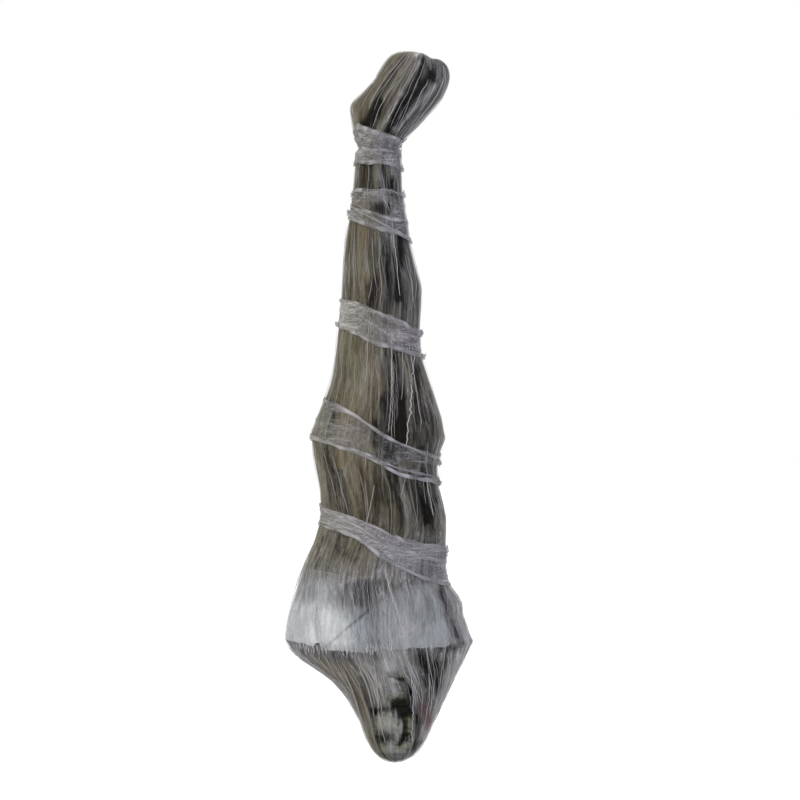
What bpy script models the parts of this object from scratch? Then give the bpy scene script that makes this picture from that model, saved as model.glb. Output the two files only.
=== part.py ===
"""Hanging mummy decoration: a stuffed figure in a gauze sleeve, tied five times and hung by its ankles.

Metres, +Z up. The origin is the middle of the ankle tie, where it is hung. The front faces -Y.
"""

import math

import bmesh
import bpy
from mathutils import Vector

# The body's outline
# Each station is a height and the gauze's reach from the hanging line to the left, right, front and back.
# "crease" is how deep the valley between the two legs or feet is, as a share of the section.
STATIONS = [
    # height, left, right, front, back, crease
    (0.240, -0.050, 0.130, 0.030, 0.034, 0.18),
    (0.205, -0.015, 0.178, 0.060, 0.064, 0.26),
    (0.179, 0.005, 0.182, 0.074, 0.078, 0.27),
    (0.139, 0.035, 0.169, 0.084, 0.088, 0.26),
    (0.106, 0.064, 0.147, 0.086, 0.090, 0.22),
    (0.088, 0.066, 0.131, 0.082, 0.086, 0.18),
    (0.048, 0.061, 0.094, 0.070, 0.074, 0.10),
    (0.000, 0.057, 0.057, 0.060, 0.062, 0.05),
    (-0.073, 0.059, 0.057, 0.062, 0.064, 0.08),
    (-0.164, 0.070, 0.068, 0.074, 0.076, 0.08),
    (-0.276, 0.086, 0.086, 0.084, 0.094, 0.12),
    (-0.362, 0.091, 0.110, 0.092, 0.092, 0.12),
    (-0.498, 0.104, 0.104, 0.100, 0.094, 0.08),
    (-0.579, 0.114, 0.124, 0.108, 0.102, 0.12),
    (-0.650, 0.139, 0.147, 0.118, 0.114, 0.12),
    (-0.726, 0.168, 0.167, 0.120, 0.128, 0.07),
    (-0.806, 0.158, 0.149, 0.112, 0.124, 0.02),
    (-0.862, 0.147, 0.152, 0.108, 0.114, 0.0),
    (-0.933, 0.145, 0.172, 0.112, 0.108, 0.0),
    (-1.085, 0.200, 0.170, 0.126, 0.116, 0.0),
    (-1.145, 0.214, 0.208, 0.128, 0.118, 0.0),
    (-1.226, 0.238, 0.230, 0.126, 0.118, 0.0),
    (-1.259, 0.233, 0.235, 0.124, 0.116, 0.0),
    (-1.297, 0.188, 0.216, 0.121, 0.114, 0.0),
    (-1.347, 0.116, 0.187, 0.117, 0.111, 0.0),
    (-1.408, 0.066, 0.159, 0.112, 0.108, 0.0),
    (-1.469, 0.039, 0.131, 0.103, 0.104, 0.0),
    (-1.509, 0.024, 0.111, 0.088, 0.090, 0.0),
    (-1.540, 0.004, 0.088, 0.056, 0.058, 0.0),
    (-1.556, -0.022, 0.062, 0.022, 0.024, 0.0),
]
CROWN_RISE = 0.003
CROWN_HEIGHT = STATIONS[-1][0] - CROWN_RISE
SECTION_POWER = 2.3
PAIR_TURN = math.radians(15)
CREASE_WIDTH = 0.38

# Gauze
GAUZE_WALL = 0.0015
RIM_GAP = 0.0010
SEGMENTS = 32
PLEATS = 8
PLEAT_DEPTH = 0.0055
PLEAT_DRIFT = 2.6

# The sleeve's rows below the chest tie: the slanting shoulder row, then level rows as (height, pleat depth)
SHOULDER_EDGE = (-1.235, -1.250)
SHOULDER_PLEATS = 0.25
TENT_ROWS = [
    (-1.275, 0.35),
    (-1.305, 0.55),
    (-1.345, 0.80),
    (-1.390, 0.80),
    (-1.440, 0.70),
    (-1.485, 0.50),
    (-1.518, 0.30),
    (-1.540, 0.15),
    (-1.553, 0.0),
]

# The gauze over the feet: its rows' left and right heights, and the two toe ends as (middle, half width, rise)
FEET_ROWS = [
    ((0.050, 0.038), 0.1),
    ((0.064, 0.064), 0.5),
    ((0.086, 0.086), 0.5),
    ((0.106, 0.106), 0.5),
    ((0.134, 0.134), 0.5),
    ((0.160, 0.160), 0.5),
    ((0.184, 0.184), 0.5),
]
FEET_RIM = 0.205
FEET_RIM_PLEATS = 0.2
NEAR_TOE = (0.078, 0.061, 0.0360)
FAR_TOE = (0.158, 0.026, 0.0185)
FEET_CAP_SHARES = (0.86, 0.68, 0.46, 0.22)

# Ties
# Each tie is the height of its top edge at the left and right, and of its bottom edge at the left and right.
ANKLE_TIE = (0.040, 0.015, -0.028, -0.043)
SHIN_TIE = (-0.116, -0.118, -0.177, -0.238)
KNEE_TIE = (-0.384, -0.470, -0.453, -0.533)
HIP_TIE = (-0.637, -0.794, -0.733, -0.852)
CHEST_TIE = (-0.903, -1.026, -0.936, -1.105)
TIE_GAP = 0.0005
TIE_SHEET = 0.0020
TIE_ROLL = 0.0070
TIE_ROLL_WIDTH = 0.0110
WIDEST_ROLL_SHARE = 0.20
MIDDLE_ROLL_SHARE = 0.8
KNOT_SWELL = 1.1
KNOT_WIDTH = 0.30

# Stuffed figure
EASE = 0.0050
ANKLE_EASE = 0.0010
ANKLE_SEAT_LENGTH = 0.008
EASE_RAMP = 0.018
SEAT_GAP = 0.0003
PRESS_GAP = 0.0012
CORNER_POWER = 5
LEG_END = -0.800
SHOULDER_END = -1.262
TOE_ROOM = 0.006
FAR_FOOT_DROP = 0.012
NEAR_TOE_DOME = 0.016
FAR_TOE_DOME = 0.010
LEG_ROWS = [-0.030, -0.075, -0.130, -0.197, -0.264, -0.331, -0.399, -0.466, -0.533, -0.600]
HAND_ROWS = [-0.640, -0.662, -0.688, -0.715, -0.755]
ARM_ROWS = [-0.790, -0.840, -0.900, -0.960, -1.030, -1.100, -1.160, -1.200, -1.238]
TORSO_ROWS = [-0.850, -0.910, -0.970, -1.030, -1.090, -1.150, -1.205]
FOOT_ROWS = [0.030, 0.060, 0.088, 0.108, 0.135, 0.165]
LEG_POINTS = 18
FOOT_POINTS = 16
TORSO_POINTS = 24
ARM_POINTS = 14

# Arms, lying along the body: height, width across the body, depth front to back
HAND_ROOM = 0.040
HAND_DOME = 0.010
SHOULDER_DOME = 0.016
ARM_STATIONS = [
    (-0.640, 0.018, 0.044),
    (-0.662, 0.034, 0.070),
    (-0.715, 0.048, 0.088),
    (-0.790, 0.040, 0.066),
    (-0.880, 0.048, 0.082),
    (-0.960, 0.052, 0.086),
    (-1.080, 0.062, 0.098),
    (-1.190, 0.082, 0.128),
    (-1.238, 0.080, 0.120),
]

# Head, crown down: height above the crown, half width, reach to the front, reach to the back
HEAD_STATIONS = [
    (0.004, 0.016, 0.016, 0.018),
    (0.014, 0.036, 0.036, 0.040),
    (0.034, 0.056, 0.060, 0.064),
    (0.056, 0.066, 0.076, 0.076),
    (0.070, 0.067, 0.080, 0.079),
    (0.086, 0.064, 0.078, 0.078),
    (0.104, 0.062, 0.082, 0.074),
    (0.120, 0.052, 0.083, 0.064),
    (0.138, 0.046, 0.082, 0.052),
    (0.158, 0.043, 0.080, 0.046),
    (0.172, 0.037, 0.074, 0.045),
    (0.180, 0.040, 0.048, 0.045),
    (0.205, 0.041, 0.041, 0.045),
    (0.250, 0.043, 0.044, 0.047),
]
HEAD_X = 0.043
HEAD_TURN = math.radians(6)
HEAD_CLEARANCE = 0.006
HEAD_SEGMENTS = 28
NECK_FOOT = (0.052, 0.052, 0.054)
SOCKET_HEIGHT = 0.064
SOCKET_SPREAD = 0.028
SOCKET_INSET = 0.004
SOCKET_SIZE = (0.0195, 0.024, 0.0165)
NOSE_HEIGHT = 0.094
NOSE_WIDTH = 0.010
NOSE_LENGTH = 0.024
NOSE_DEPTH = 0.014
NOSE_TIP_SHARE = 0.25
MOUTH_HEIGHT = 0.136
MOUTH_SIZE = (0.028, 0.030, 0.0135)

# Hood round the head, open in front of the face
HOOD_DROP = 0.010
HOOD_CROWN_ROOM = 0.075
HOOD_WALL = 0.0012
HOOD_EASE = 0.0034
HOOD_OPENING = math.radians(88)
HOOD_SEGMENTS = 18
HOOD_ROWS = 7


# Section maths

def signed_power(value, power):
    return math.copysign(abs(value) ** power, value)


def blend_stations(stations, height):
    """The station values at a height, along a smooth curve through the stations, listed top to bottom."""
    if height >= stations[0][0]:
        return stations[0][1:]
    if height <= stations[-1][0]:
        return stations[-1][1:]
    i = next(k for k in range(len(stations) - 1) if height >= stations[k + 1][0])
    upper, lower = stations[i], stations[i + 1]
    span = upper[0] - lower[0]
    t = (upper[0] - height) / span
    before = stations[max(i - 1, 0)]
    after = stations[min(i + 2, len(stations) - 1)]
    values = []
    for c in range(1, len(upper)):
        chord = (lower[c] - upper[c]) / span
        start = limited_slope((upper[c] - before[c]) / max(before[0] - upper[0], 1e-9), chord)
        end = limited_slope(chord, (after[c] - lower[c]) / max(lower[0] - after[0], 1e-9))
        values.append(
            (2 * t**3 - 3 * t**2 + 1) * upper[c]
            + (t**3 - 2 * t**2 + t) * span * start
            + (3 * t**2 - 2 * t**3) * lower[c]
            + (t**3 - t**2) * span * end
        )
    return tuple(values)


def limited_slope(first, second):
    """A slope between two chords that never overshoots them."""
    if first * second <= 0:
        return 0.0
    return 2 * first * second / (first + second)


def wrap_angle(angle):
    return (angle + math.pi) % (2 * math.pi) - math.pi


def crease_factor(angle, crease):
    """The share of the section left at an angle, with a valley at the front and one at the back."""
    factor = 1.0
    for side in (-math.pi / 2, math.pi / 2):
        away = wrap_angle(angle - side - PAIR_TURN)
        factor -= crease * math.exp(-((away / CREASE_WIDTH) ** 2))
    return factor


def section_at(height):
    """Centre, half sizes and crease of the gauze's section at a height."""
    left, right, front, back, crease = blend_stations(STATIONS, height)
    centre = Vector(((right - left) / 2, (back - front) / 2))
    return centre, (right + left) / 2, (front + back) / 2, crease


def skin_point(angle, height, offset=0.0):
    """A point of the gauze's outer surface, moved outwards by offset."""
    centre, half_width, half_depth, crease = section_at(height)
    across = signed_power(math.cos(angle), 2 / SECTION_POWER)
    along = signed_power(math.sin(angle), 2 / SECTION_POWER)
    factor = crease_factor(math.atan2(along, across), crease)
    return Vector((
        centre.x + (half_width * factor + offset) * across,
        centre.y + (half_depth * factor + offset) * along,
        height,
    ))


def inside_skin(point, height, offset):
    centre, half_width, half_depth, crease = section_at(height)
    across = point.x - centre.x
    along = point.y - centre.y
    angle = math.atan2(along / half_depth, across / half_width)
    factor = crease_factor(angle, crease)
    width = max(half_width * factor + offset, 1e-4)
    depth = max(half_depth * factor + offset, 1e-4)
    return abs(across / width) ** SECTION_POWER + abs(along / depth) ** SECTION_POWER < 1


def distance_to_skin(start, direction, height, offset):
    near, far = 0.0, 1.0
    for _ in range(26):
        middle = (near + far) / 2
        if inside_skin(start + direction * middle, height, offset):
            near = middle
        else:
            far = middle
    return near


def pressed_section(start, planes, height, offset, count):
    """A stuffed piece's section: it fills the gauze, pressed flat by its neighbours' planes, with round corners."""
    ring = []
    for i in range(count):
        angle = 2 * math.pi * i / count
        direction = Vector((math.cos(angle), math.sin(angle)))
        limits = [distance_to_skin(start, direction, height, offset)]
        for point, normal in planes:
            facing = direction.dot(normal)
            if facing > 1e-6:
                limits.append((point - start).dot(normal) / facing)
        reach = sum(limit**-CORNER_POWER for limit in limits) ** (-1 / CORNER_POWER)
        ring.append(Vector((*(start + direction * reach), height)))
    return ring


# Mesh tools

def clear_scene():
    for obj in list(bpy.data.objects):
        bpy.data.objects.remove(obj)


def new_collection(name):
    collection = bpy.data.collections.new(name)
    bpy.context.scene.collection.children.link(collection)
    return collection


def new_material(name, colour, roughness, metallic=0.0):
    material = bpy.data.materials.new(name)
    material.use_nodes = True
    shader = material.node_tree.nodes["Principled BSDF"]
    shader.inputs["Base Color"].default_value = (*colour, 1.0)
    shader.inputs["Roughness"].default_value = roughness
    shader.inputs["Metallic"].default_value = metallic
    return material


def new_object(name, mesh, collection, material):
    obj = bpy.data.objects.new(name, mesh)
    collection.objects.link(obj)
    mesh.materials.append(material)
    return obj


def loft(name, rings, start_cap, end_cap, wrap=True):
    """A skin over rings of points. A cap is None for an open end, "flat", or a point that the ring closes to."""
    bm = bmesh.new()
    rows = [[bm.verts.new(point) for point in ring] for ring in rings]
    count = len(rows[0])
    last = count if wrap else count - 1
    for upper, lower in zip(rows, rows[1:]):
        for i in range(last):
            j = (i + 1) % count
            bm.faces.new((upper[i], lower[i], lower[j]))
            bm.faces.new((upper[i], lower[j], upper[j]))
    for cap, row in ((start_cap, rows[0]), (end_cap, rows[-1])):
        if cap == "flat":
            bm.faces.new(row)
        elif cap is not None:
            tip = bm.verts.new(cap)
            for i in range(count):
                bm.faces.new((row[i], row[(i + 1) % count], tip))
    bmesh.ops.recalc_face_normals(bm, faces=bm.faces)
    mesh = bpy.data.meshes.new(name)
    bm.to_mesh(mesh)
    bm.free()
    mesh.shade_smooth()
    mesh.set_sharp_from_angle(angle=math.radians(50))
    return mesh


def face_outwards(mesh, middle):
    """Turns an open sheet's faces away from the middle line."""
    bm = bmesh.new()
    bm.from_mesh(mesh)
    bm.normal_update()
    outward = sum(
        face.normal.dot(face.calc_center_median() - middle(face.calc_center_median().z))
        for face in bm.faces
    )
    if outward < 0:
        bmesh.ops.reverse_faces(bm, faces=bm.faces)
    bm.to_mesh(mesh)
    bm.free()


def middle_line(height):
    centre = section_at(height)[0]
    return Vector((centre.x, centre.y, height))


def add_wall(obj, thickness):
    wall = obj.modifiers.new("Wall", "SOLIDIFY")
    wall.thickness = thickness
    wall.offset = -1
    wall.use_even_offset = False


# Gauze sleeve

def edge_height(edge, angle):
    """The height of a tilted edge, given as its heights at the left and right, at an angle round the body."""
    left, right = edge
    return (left + right) / 2 + (right - left) / 2 * math.cos(angle)


def tie_edges(tie):
    """The top, middle and bottom edge of a tie."""
    left_top, right_top, left_bottom, right_bottom = tie
    middle = ((left_top + left_bottom) / 2, (right_top + right_bottom) / 2)
    return [(left_top, right_top), middle, (left_bottom, right_bottom)]


def edges_between(upper, lower, count):
    """Evenly spaced edges between two others, with how deep the pleats are on each."""
    edges = []
    for i in range(1, count + 1):
        t = i / (count + 1)
        edge = tuple(a + (b - a) * t for a, b in zip(upper, lower))
        edges.append((edge, 0.55 + 0.45 * abs(2 * t - 1)))
    return edges


def pleat_offset(angle, height, depth):
    """Gathers stand proud of the body: round ridges that drift round it as they run down."""
    wave = 0.5 + 0.5 * math.cos(PLEATS * angle + PLEAT_DRIFT * math.sin(4 * height))
    strength = 0.65 + 0.35 * math.sin(3 * angle + 1.0)
    return PLEAT_DEPTH * depth * wave * strength


def gauze_ring(edge, depth):
    ring = []
    for i in range(SEGMENTS):
        angle = 2 * math.pi * i / SEGMENTS
        height = edge_height(edge, angle)
        ring.append(skin_point(angle, height, pleat_offset(angle, height, depth)))
    return ring


def sleeve_edges():
    """The sleeve's rings from the ankle tie down to the crown, as (edge, pleat depth)."""
    rim = -RIM_GAP
    edges = [((rim, rim), 0.0), (tie_edges(ANKLE_TIE)[2], 0.0)]
    for tie, count in ((SHIN_TIE, 2), (KNEE_TIE, 3), (HIP_TIE, 4), (CHEST_TIE, 3)):
        top, middle, bottom = tie_edges(tie)
        edges += edges_between(edges[-1][0], top, count)
        edges += [(top, 0.0), (middle, 0.0), (bottom, 0.0)]
    edges += edges_between(edges[-1][0], SHOULDER_EDGE, 4)
    edges.append((SHOULDER_EDGE, SHOULDER_PLEATS))
    return edges + [((height, height), depth) for height, depth in TENT_ROWS]


def build_sleeve(collection, material):
    rings = [gauze_ring(edge, depth) for edge, depth in sleeve_edges()]
    crown = section_at(CROWN_HEIGHT)[0]
    mesh = loft("shroud_gauze", rings, None, Vector((crown.x, crown.y, CROWN_HEIGHT)))
    face_outwards(mesh, middle_line)
    add_wall(new_object("shroud_gauze", mesh, collection, material), GAUZE_WALL)


# Gauze over the feet

def toe_height(point):
    """The top of the two toe ends above the rim: the near one is wide, the far one lower and narrow."""
    height = 0.0
    centre, _, half_depth, _ = section_at(FEET_RIM)
    fall = max(1 - ((point.y - centre.y) / half_depth) ** 2, 0.0)
    for middle, half_width, rise in (NEAR_TOE, FAR_TOE):
        bulge = max(1 - abs((point.x - middle) / half_width) ** 2.4, 0.0)
        height = max(height, rise * bulge**0.5)
    return FEET_RIM + height * fall**0.5


def build_feet_gauze(collection, material):
    edges = [
        ((RIM_GAP, RIM_GAP), 0.0),
        (tie_edges(ANKLE_TIE)[0], 0.0),
        *FEET_ROWS,
        ((FEET_RIM, FEET_RIM), FEET_RIM_PLEATS),
    ]
    rings = [gauze_ring(edge, depth) for edge, depth in edges]
    centre = section_at(FEET_RIM)[0]
    middle = Vector((centre.x, centre.y, FEET_RIM))
    for share in FEET_CAP_SHARES:
        ring = []
        for point in rings[len(edges) - 1]:
            spot = middle + (point - middle) * share
            spot.z = toe_height(spot)
            ring.append(spot)
        rings.append(ring)
    middle.z = toe_height(middle)
    mesh = loft("feet_gauze", rings, None, middle)
    face_outwards(mesh, middle_line)
    add_wall(new_object("feet_gauze", mesh, collection, material), GAUZE_WALL)


# Ties

def tie_ring(tie, angle, turns, middle_height):
    """A tie's section at an angle: the inner face follows the gauze, and rolled edges stand out of a thin sheet."""
    top, middle, bottom = (edge_height(edge, angle) for edge in tie_edges(tie))
    middle_gap = TIE_GAP
    if middle_height is not None:
        middle = middle_height
        middle_gap = 2 * TIE_GAP
    inner = [
        skin_point(angle, top, TIE_GAP),
        skin_point(angle, middle, middle_gap),
        skin_point(angle, bottom, TIE_GAP),
    ]
    outward = skin_point(angle, middle, 1) - skin_point(angle, middle)
    roll = TIE_ROLL * (1 + KNOT_SWELL * math.exp(-((wrap_angle(angle) / KNOT_WIDTH) ** 2)))
    edge = min(TIE_ROLL_WIDTH / (top - bottom), WIDEST_ROLL_SHARE)
    outer_profile = [
        (1 - edge, roll),
        (1 - edge * 2.3, TIE_SHEET),
        (0.5, roll * MIDDLE_ROLL_SHARE if turns > 2 else TIE_SHEET),
        (edge * 2.3, TIE_SHEET),
        (edge, roll),
    ]
    points = list(inner)
    for share, rise in outer_profile:
        if share < 0.5:
            base = inner[0].lerp(inner[1], share * 2)
        else:
            base = inner[1].lerp(inner[2], share * 2 - 1)
        points.append(base + outward * rise)
    return points


def build_tie(name, tie, turns, collection, material, middle_height=None):
    rings = [tie_ring(tie, 2 * math.pi * i / SEGMENTS, turns, middle_height) for i in range(SEGMENTS)]
    mesh = loft(name, [*rings, rings[0]], None, None)
    weld_rings(mesh)
    new_object(name, mesh, collection, material)


def weld_rings(mesh):
    bm = bmesh.new()
    bm.from_mesh(mesh)
    bmesh.ops.remove_doubles(bm, verts=bm.verts, dist=1e-6)
    bmesh.ops.recalc_face_normals(bm, faces=bm.faces)
    bm.to_mesh(mesh)
    bm.free()


# Stuffed figure

def body_offset(height):
    """How far inside the gauze's outer surface the stuffed figure's skin lies. It fits tightly at the ankle tie."""
    away = (abs(height) - ANKLE_SEAT_LENGTH) / EASE_RAMP
    away = min(max(away, 0.0), 1.0)
    return -(GAUZE_WALL + ANKLE_EASE + (EASE - ANKLE_EASE) * away)


def arm_planes(height, gap):
    """The planes that the arms press against, at the left and right of the legs and the torso."""
    start = ARM_STATIONS[0][0] + HAND_ROOM
    if height > start:
        return []
    width = blend_stations(ARM_STATIONS, height)[0] * min((start - height) / HAND_ROOM, 1.0)
    centre, half_width, _, _ = section_at(height)
    planes = []
    for side in (-1, 1):
        edge = half_width + body_offset(height) - width - gap
        planes.append((centre + Vector((side * edge, 0)), Vector((side, 0))))
    return planes


def pair_piece(name, side, heights, count, collection, material, dome=0.0):
    """A leg or a foot: half of the wrapped pair, pressed flat where it meets its twin."""
    turn = Vector((math.cos(PAIR_TURN), math.sin(PAIR_TURN)))
    rings = []
    for height in heights:
        centre, half_width, _, _ = section_at(height)
        inner = centre + turn * side * PRESS_GAP / 2
        start = centre + turn * side * half_width * 0.46
        planes = [(inner, -turn * side), *arm_planes(height, PRESS_GAP)]
        rings.append(pressed_section(start, planes, height, body_offset(height), count))
    tip = "flat"
    if dome:
        more, tip = dome_over(rings[-1], dome)
        rings += more
    new_object(name, loft(name, rings, "flat", tip), collection, material)


def dome_over(ring, rise):
    """The rings and the tip of a rounded end on a level ring."""
    middle = sum(ring, Vector()) / len(ring)
    rings = []
    for share, lift in ((0.84, 0.55), (0.50, 0.90)):
        rings.append([middle + (point - middle) * share + Vector((0, 0, rise * lift)) for point in ring])
    return rings, middle + Vector((0, 0, rise))


def spread(start, end, count):
    return [start + (end - start) * i / (count - 1) for i in range(count)]


def build_legs(collection, material):
    heights = [-SEAT_GAP, -ANKLE_SEAT_LENGTH, *LEG_ROWS, *HAND_ROWS, LEG_END]
    pair_piece("near_leg", -1, heights, LEG_POINTS, collection, material)
    pair_piece("far_leg", 1, heights, LEG_POINTS, collection, material)


def build_feet(collection, material):
    heights = [SEAT_GAP, ANKLE_SEAT_LENGTH, *FOOT_ROWS]
    top = FEET_RIM - TOE_ROOM
    far_top = top - FAR_FOOT_DROP
    pair_piece("near_foot", -1, [*heights, top], FOOT_POINTS, collection, material, NEAR_TOE_DOME)
    pair_piece("far_foot", 1, [*heights, far_top], FOOT_POINTS, collection, material, FAR_TOE_DOME)


def build_torso(collection, material):
    rings = []
    for height in [LEG_END - SEAT_GAP, *TORSO_ROWS, SHOULDER_END]:
        centre = section_at(height)[0]
        planes = arm_planes(height, PRESS_GAP)
        rings.append(pressed_section(centre, planes, height, body_offset(height), TORSO_POINTS))
    new_object("torso", loft("torso", rings, "flat", "flat"), collection, material)


def build_arms(collection, material):
    for name, side in (("left_arm", -1), ("right_arm", 1)):
        rings = []
        for height in HAND_ROWS + ARM_ROWS:
            width, depth = blend_stations(ARM_STATIONS, height)
            centre, half_width, _, _ = section_at(height)
            outer = half_width + body_offset(height)
            start = centre + Vector((side * (outer - width / 2), 0))
            inner = centre + Vector((side * (outer - width), 0))
            planes = [
                (inner, Vector((-side, 0))),
                (start + Vector((0, depth / 2)), Vector((0, 1))),
                (start - Vector((0, depth / 2)), Vector((0, -1))),
            ]
            rings.append(pressed_section(start, planes, height, body_offset(height), ARM_POINTS))
        hand, hand_tip = dome_over(rings[0], HAND_DOME)
        shoulder, shoulder_tip = dome_over(rings[-1], -SHOULDER_DOME)
        rings = [*reversed(hand), *rings, *shoulder]
        new_object(name, loft(name, rings, hand_tip, shoulder_tip), collection, material)


# Head

def head_ring(height, half_width, front, back):
    ring = []
    for i in range(HEAD_SEGMENTS):
        angle = 2 * math.pi * i / HEAD_SEGMENTS
        reach = back if math.sin(angle) > 0 else front
        across = half_width * signed_power(math.cos(angle), 0.94)
        along = reach * signed_power(math.sin(angle), 0.94)
        turned = Vector((
            across * math.cos(HEAD_TURN) - along * math.sin(HEAD_TURN),
            across * math.sin(HEAD_TURN) + along * math.cos(HEAD_TURN),
        ))
        ring.append(Vector((HEAD_X + turned.x, turned.y, height)))
    return ring


def crown_top():
    """The height of the head's crown, just inside the bottom of the gauze."""
    return CROWN_HEIGHT + GAUZE_WALL + HEAD_CLEARANCE


def face_point(across, forward, height):
    """A place on the head: across its width, forward of its axis and above its crown."""
    return Vector((
        HEAD_X + across * math.cos(HEAD_TURN) + forward * math.sin(HEAD_TURN),
        across * math.sin(HEAD_TURN) - forward * math.cos(HEAD_TURN),
        crown_top() + height,
    ))


def add_cutter(name, shape, place, size, collection):
    mesh = bpy.data.meshes.new(name)
    bm = bmesh.new()
    if shape == "ball":
        bmesh.ops.create_uvsphere(bm, u_segments=12, v_segments=8, radius=1)
    else:
        bmesh.ops.create_cone(bm, cap_ends=True, segments=8, radius1=NOSE_TIP_SHARE, radius2=1, depth=2)
    bmesh.ops.scale(bm, verts=bm.verts, vec=size)
    bm.to_mesh(mesh)
    bm.free()
    cutter = bpy.data.objects.new(name, mesh)
    cutter.location = place
    cutter.rotation_euler.z = HEAD_TURN
    cutter.hide_render = True
    cutter.display_type = "WIRE"
    collection.objects.link(cutter)
    return cutter


def build_head(collection, cutters, material):
    base = crown_top()
    rings = [head_ring(base + height, *sizes) for height, *sizes in HEAD_STATIONS]
    rings.append(head_ring(SHOULDER_END - SEAT_GAP, *NECK_FOOT))
    mesh = loft("head", rings, Vector((HEAD_X, 0, base)), "flat")
    head = new_object("head", mesh, collection, material)
    front = HEAD_STATIONS[4][2]
    tools = []
    for side in (-1, 1):
        place = face_point(side * SOCKET_SPREAD, front - SOCKET_INSET, SOCKET_HEIGHT)
        tools.append(add_cutter(f"socket_{side}", "ball", place, SOCKET_SIZE, cutters))
    place = face_point(0, front, NOSE_HEIGHT)
    tools.append(add_cutter("nose_hole", "cone", place, (NOSE_WIDTH, NOSE_DEPTH, NOSE_LENGTH / 2), cutters))
    place = face_point(0, front, MOUTH_HEIGHT)
    tools.append(add_cutter("mouth_hole", "ball", place, MOUTH_SIZE, cutters))
    for tool in tools:
        cut = head.modifiers.new(tool.name, "BOOLEAN")
        cut.operation = "DIFFERENCE"
        cut.object = tool


def build_hood(collection, material):
    edge = (HOOD_OPENING - math.pi) / 2
    angles = spread(edge, math.pi - edge, HOOD_SEGMENTS + 1)
    offset = -(GAUZE_WALL + HOOD_EASE)
    rings = []
    for height in spread(SHOULDER_END - HOOD_DROP, CROWN_HEIGHT + HOOD_CROWN_ROOM, HOOD_ROWS):
        rings.append([skin_point(angle, height, offset) for angle in angles])
    mesh = loft("hood_cloth", rings, None, None, wrap=False)
    face_outwards(mesh, middle_line)
    add_wall(new_object("hood_cloth", mesh, collection, material), HOOD_WALL)


def main():
    clear_scene()
    figure = new_collection("hanging_mummy_decoration")
    cutters = new_collection("cutters")
    gauze = new_material("gauze", (0.46, 0.45, 0.46), 0.9)
    tie_gauze = new_material("tie_gauze", (0.62, 0.60, 0.62), 0.9)
    olive_cloth = new_material("olive_cloth", (0.20, 0.18, 0.13), 0.95)
    wadding = new_material("wadding", (0.62, 0.65, 0.68), 0.95)
    bone = new_material("bone", (0.36, 0.36, 0.27), 0.7)
    build_sleeve(figure, gauze)
    build_feet_gauze(figure, gauze)
    build_tie("ankle_band", ANKLE_TIE, 3, figure, tie_gauze, middle_height=0.0)
    build_tie("shin_band", SHIN_TIE, 2, figure, tie_gauze)
    build_tie("knee_band", KNEE_TIE, 3, figure, tie_gauze)
    build_tie("hip_band", HIP_TIE, 2, figure, tie_gauze)
    build_tie("chest_band", CHEST_TIE, 2, figure, tie_gauze)
    build_legs(figure, olive_cloth)
    build_feet(figure, olive_cloth)
    build_torso(figure, wadding)
    build_arms(figure, olive_cloth)
    build_head(figure, cutters, bone)
    build_hood(figure, olive_cloth)


main()
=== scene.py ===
# Hanging mummy decoration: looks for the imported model.
# The gauze, the ties and the stuffed figure are rebuilt as fine skins, read from the CAD solids by rays
# sent in towards a line that runs down the middle of the figure, from the toes to the crown.

import math

import bmesh
import bpy
import numpy as np
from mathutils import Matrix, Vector
from mathutils.bvhtree import BVHTree


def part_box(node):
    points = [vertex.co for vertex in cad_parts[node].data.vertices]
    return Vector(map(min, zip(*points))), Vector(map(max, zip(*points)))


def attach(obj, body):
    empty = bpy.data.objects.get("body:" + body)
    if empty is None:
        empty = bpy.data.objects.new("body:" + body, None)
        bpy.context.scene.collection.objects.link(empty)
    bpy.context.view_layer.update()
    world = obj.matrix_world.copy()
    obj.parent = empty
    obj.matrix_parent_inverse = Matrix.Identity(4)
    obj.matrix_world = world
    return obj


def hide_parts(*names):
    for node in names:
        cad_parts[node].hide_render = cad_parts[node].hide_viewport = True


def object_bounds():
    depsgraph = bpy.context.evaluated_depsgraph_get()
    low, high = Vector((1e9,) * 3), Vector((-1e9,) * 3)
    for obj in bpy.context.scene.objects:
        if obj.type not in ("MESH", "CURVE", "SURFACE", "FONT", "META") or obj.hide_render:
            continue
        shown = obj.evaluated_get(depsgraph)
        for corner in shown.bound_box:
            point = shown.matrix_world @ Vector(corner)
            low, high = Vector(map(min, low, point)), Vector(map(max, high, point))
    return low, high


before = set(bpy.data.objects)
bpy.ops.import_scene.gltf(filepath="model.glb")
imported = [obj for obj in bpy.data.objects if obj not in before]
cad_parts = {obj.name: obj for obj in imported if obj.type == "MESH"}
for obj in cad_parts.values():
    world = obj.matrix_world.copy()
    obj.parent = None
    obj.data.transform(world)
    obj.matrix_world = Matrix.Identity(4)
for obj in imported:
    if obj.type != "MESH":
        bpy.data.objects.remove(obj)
cadLow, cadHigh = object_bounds()
tau = 2 * math.pi


# A share kept between 0 and 1 that starts and ends gently.
def eased(share):
    share = np.clip(share, 0, 1)
    return share * share * (3 - 2 * share)


# 1 from low to high, easing to 0 beyond them.
def between(value, low, high, soft):
    return eased((value - low) / soft + 1) * (1 - eased((value - high) / soft))


# How far round each angle lies from another, within half a turn either way.
def turnFrom(angle, middle):
    return (angle - middle + math.pi) % tau - math.pi


# camera, light and studio

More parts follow.
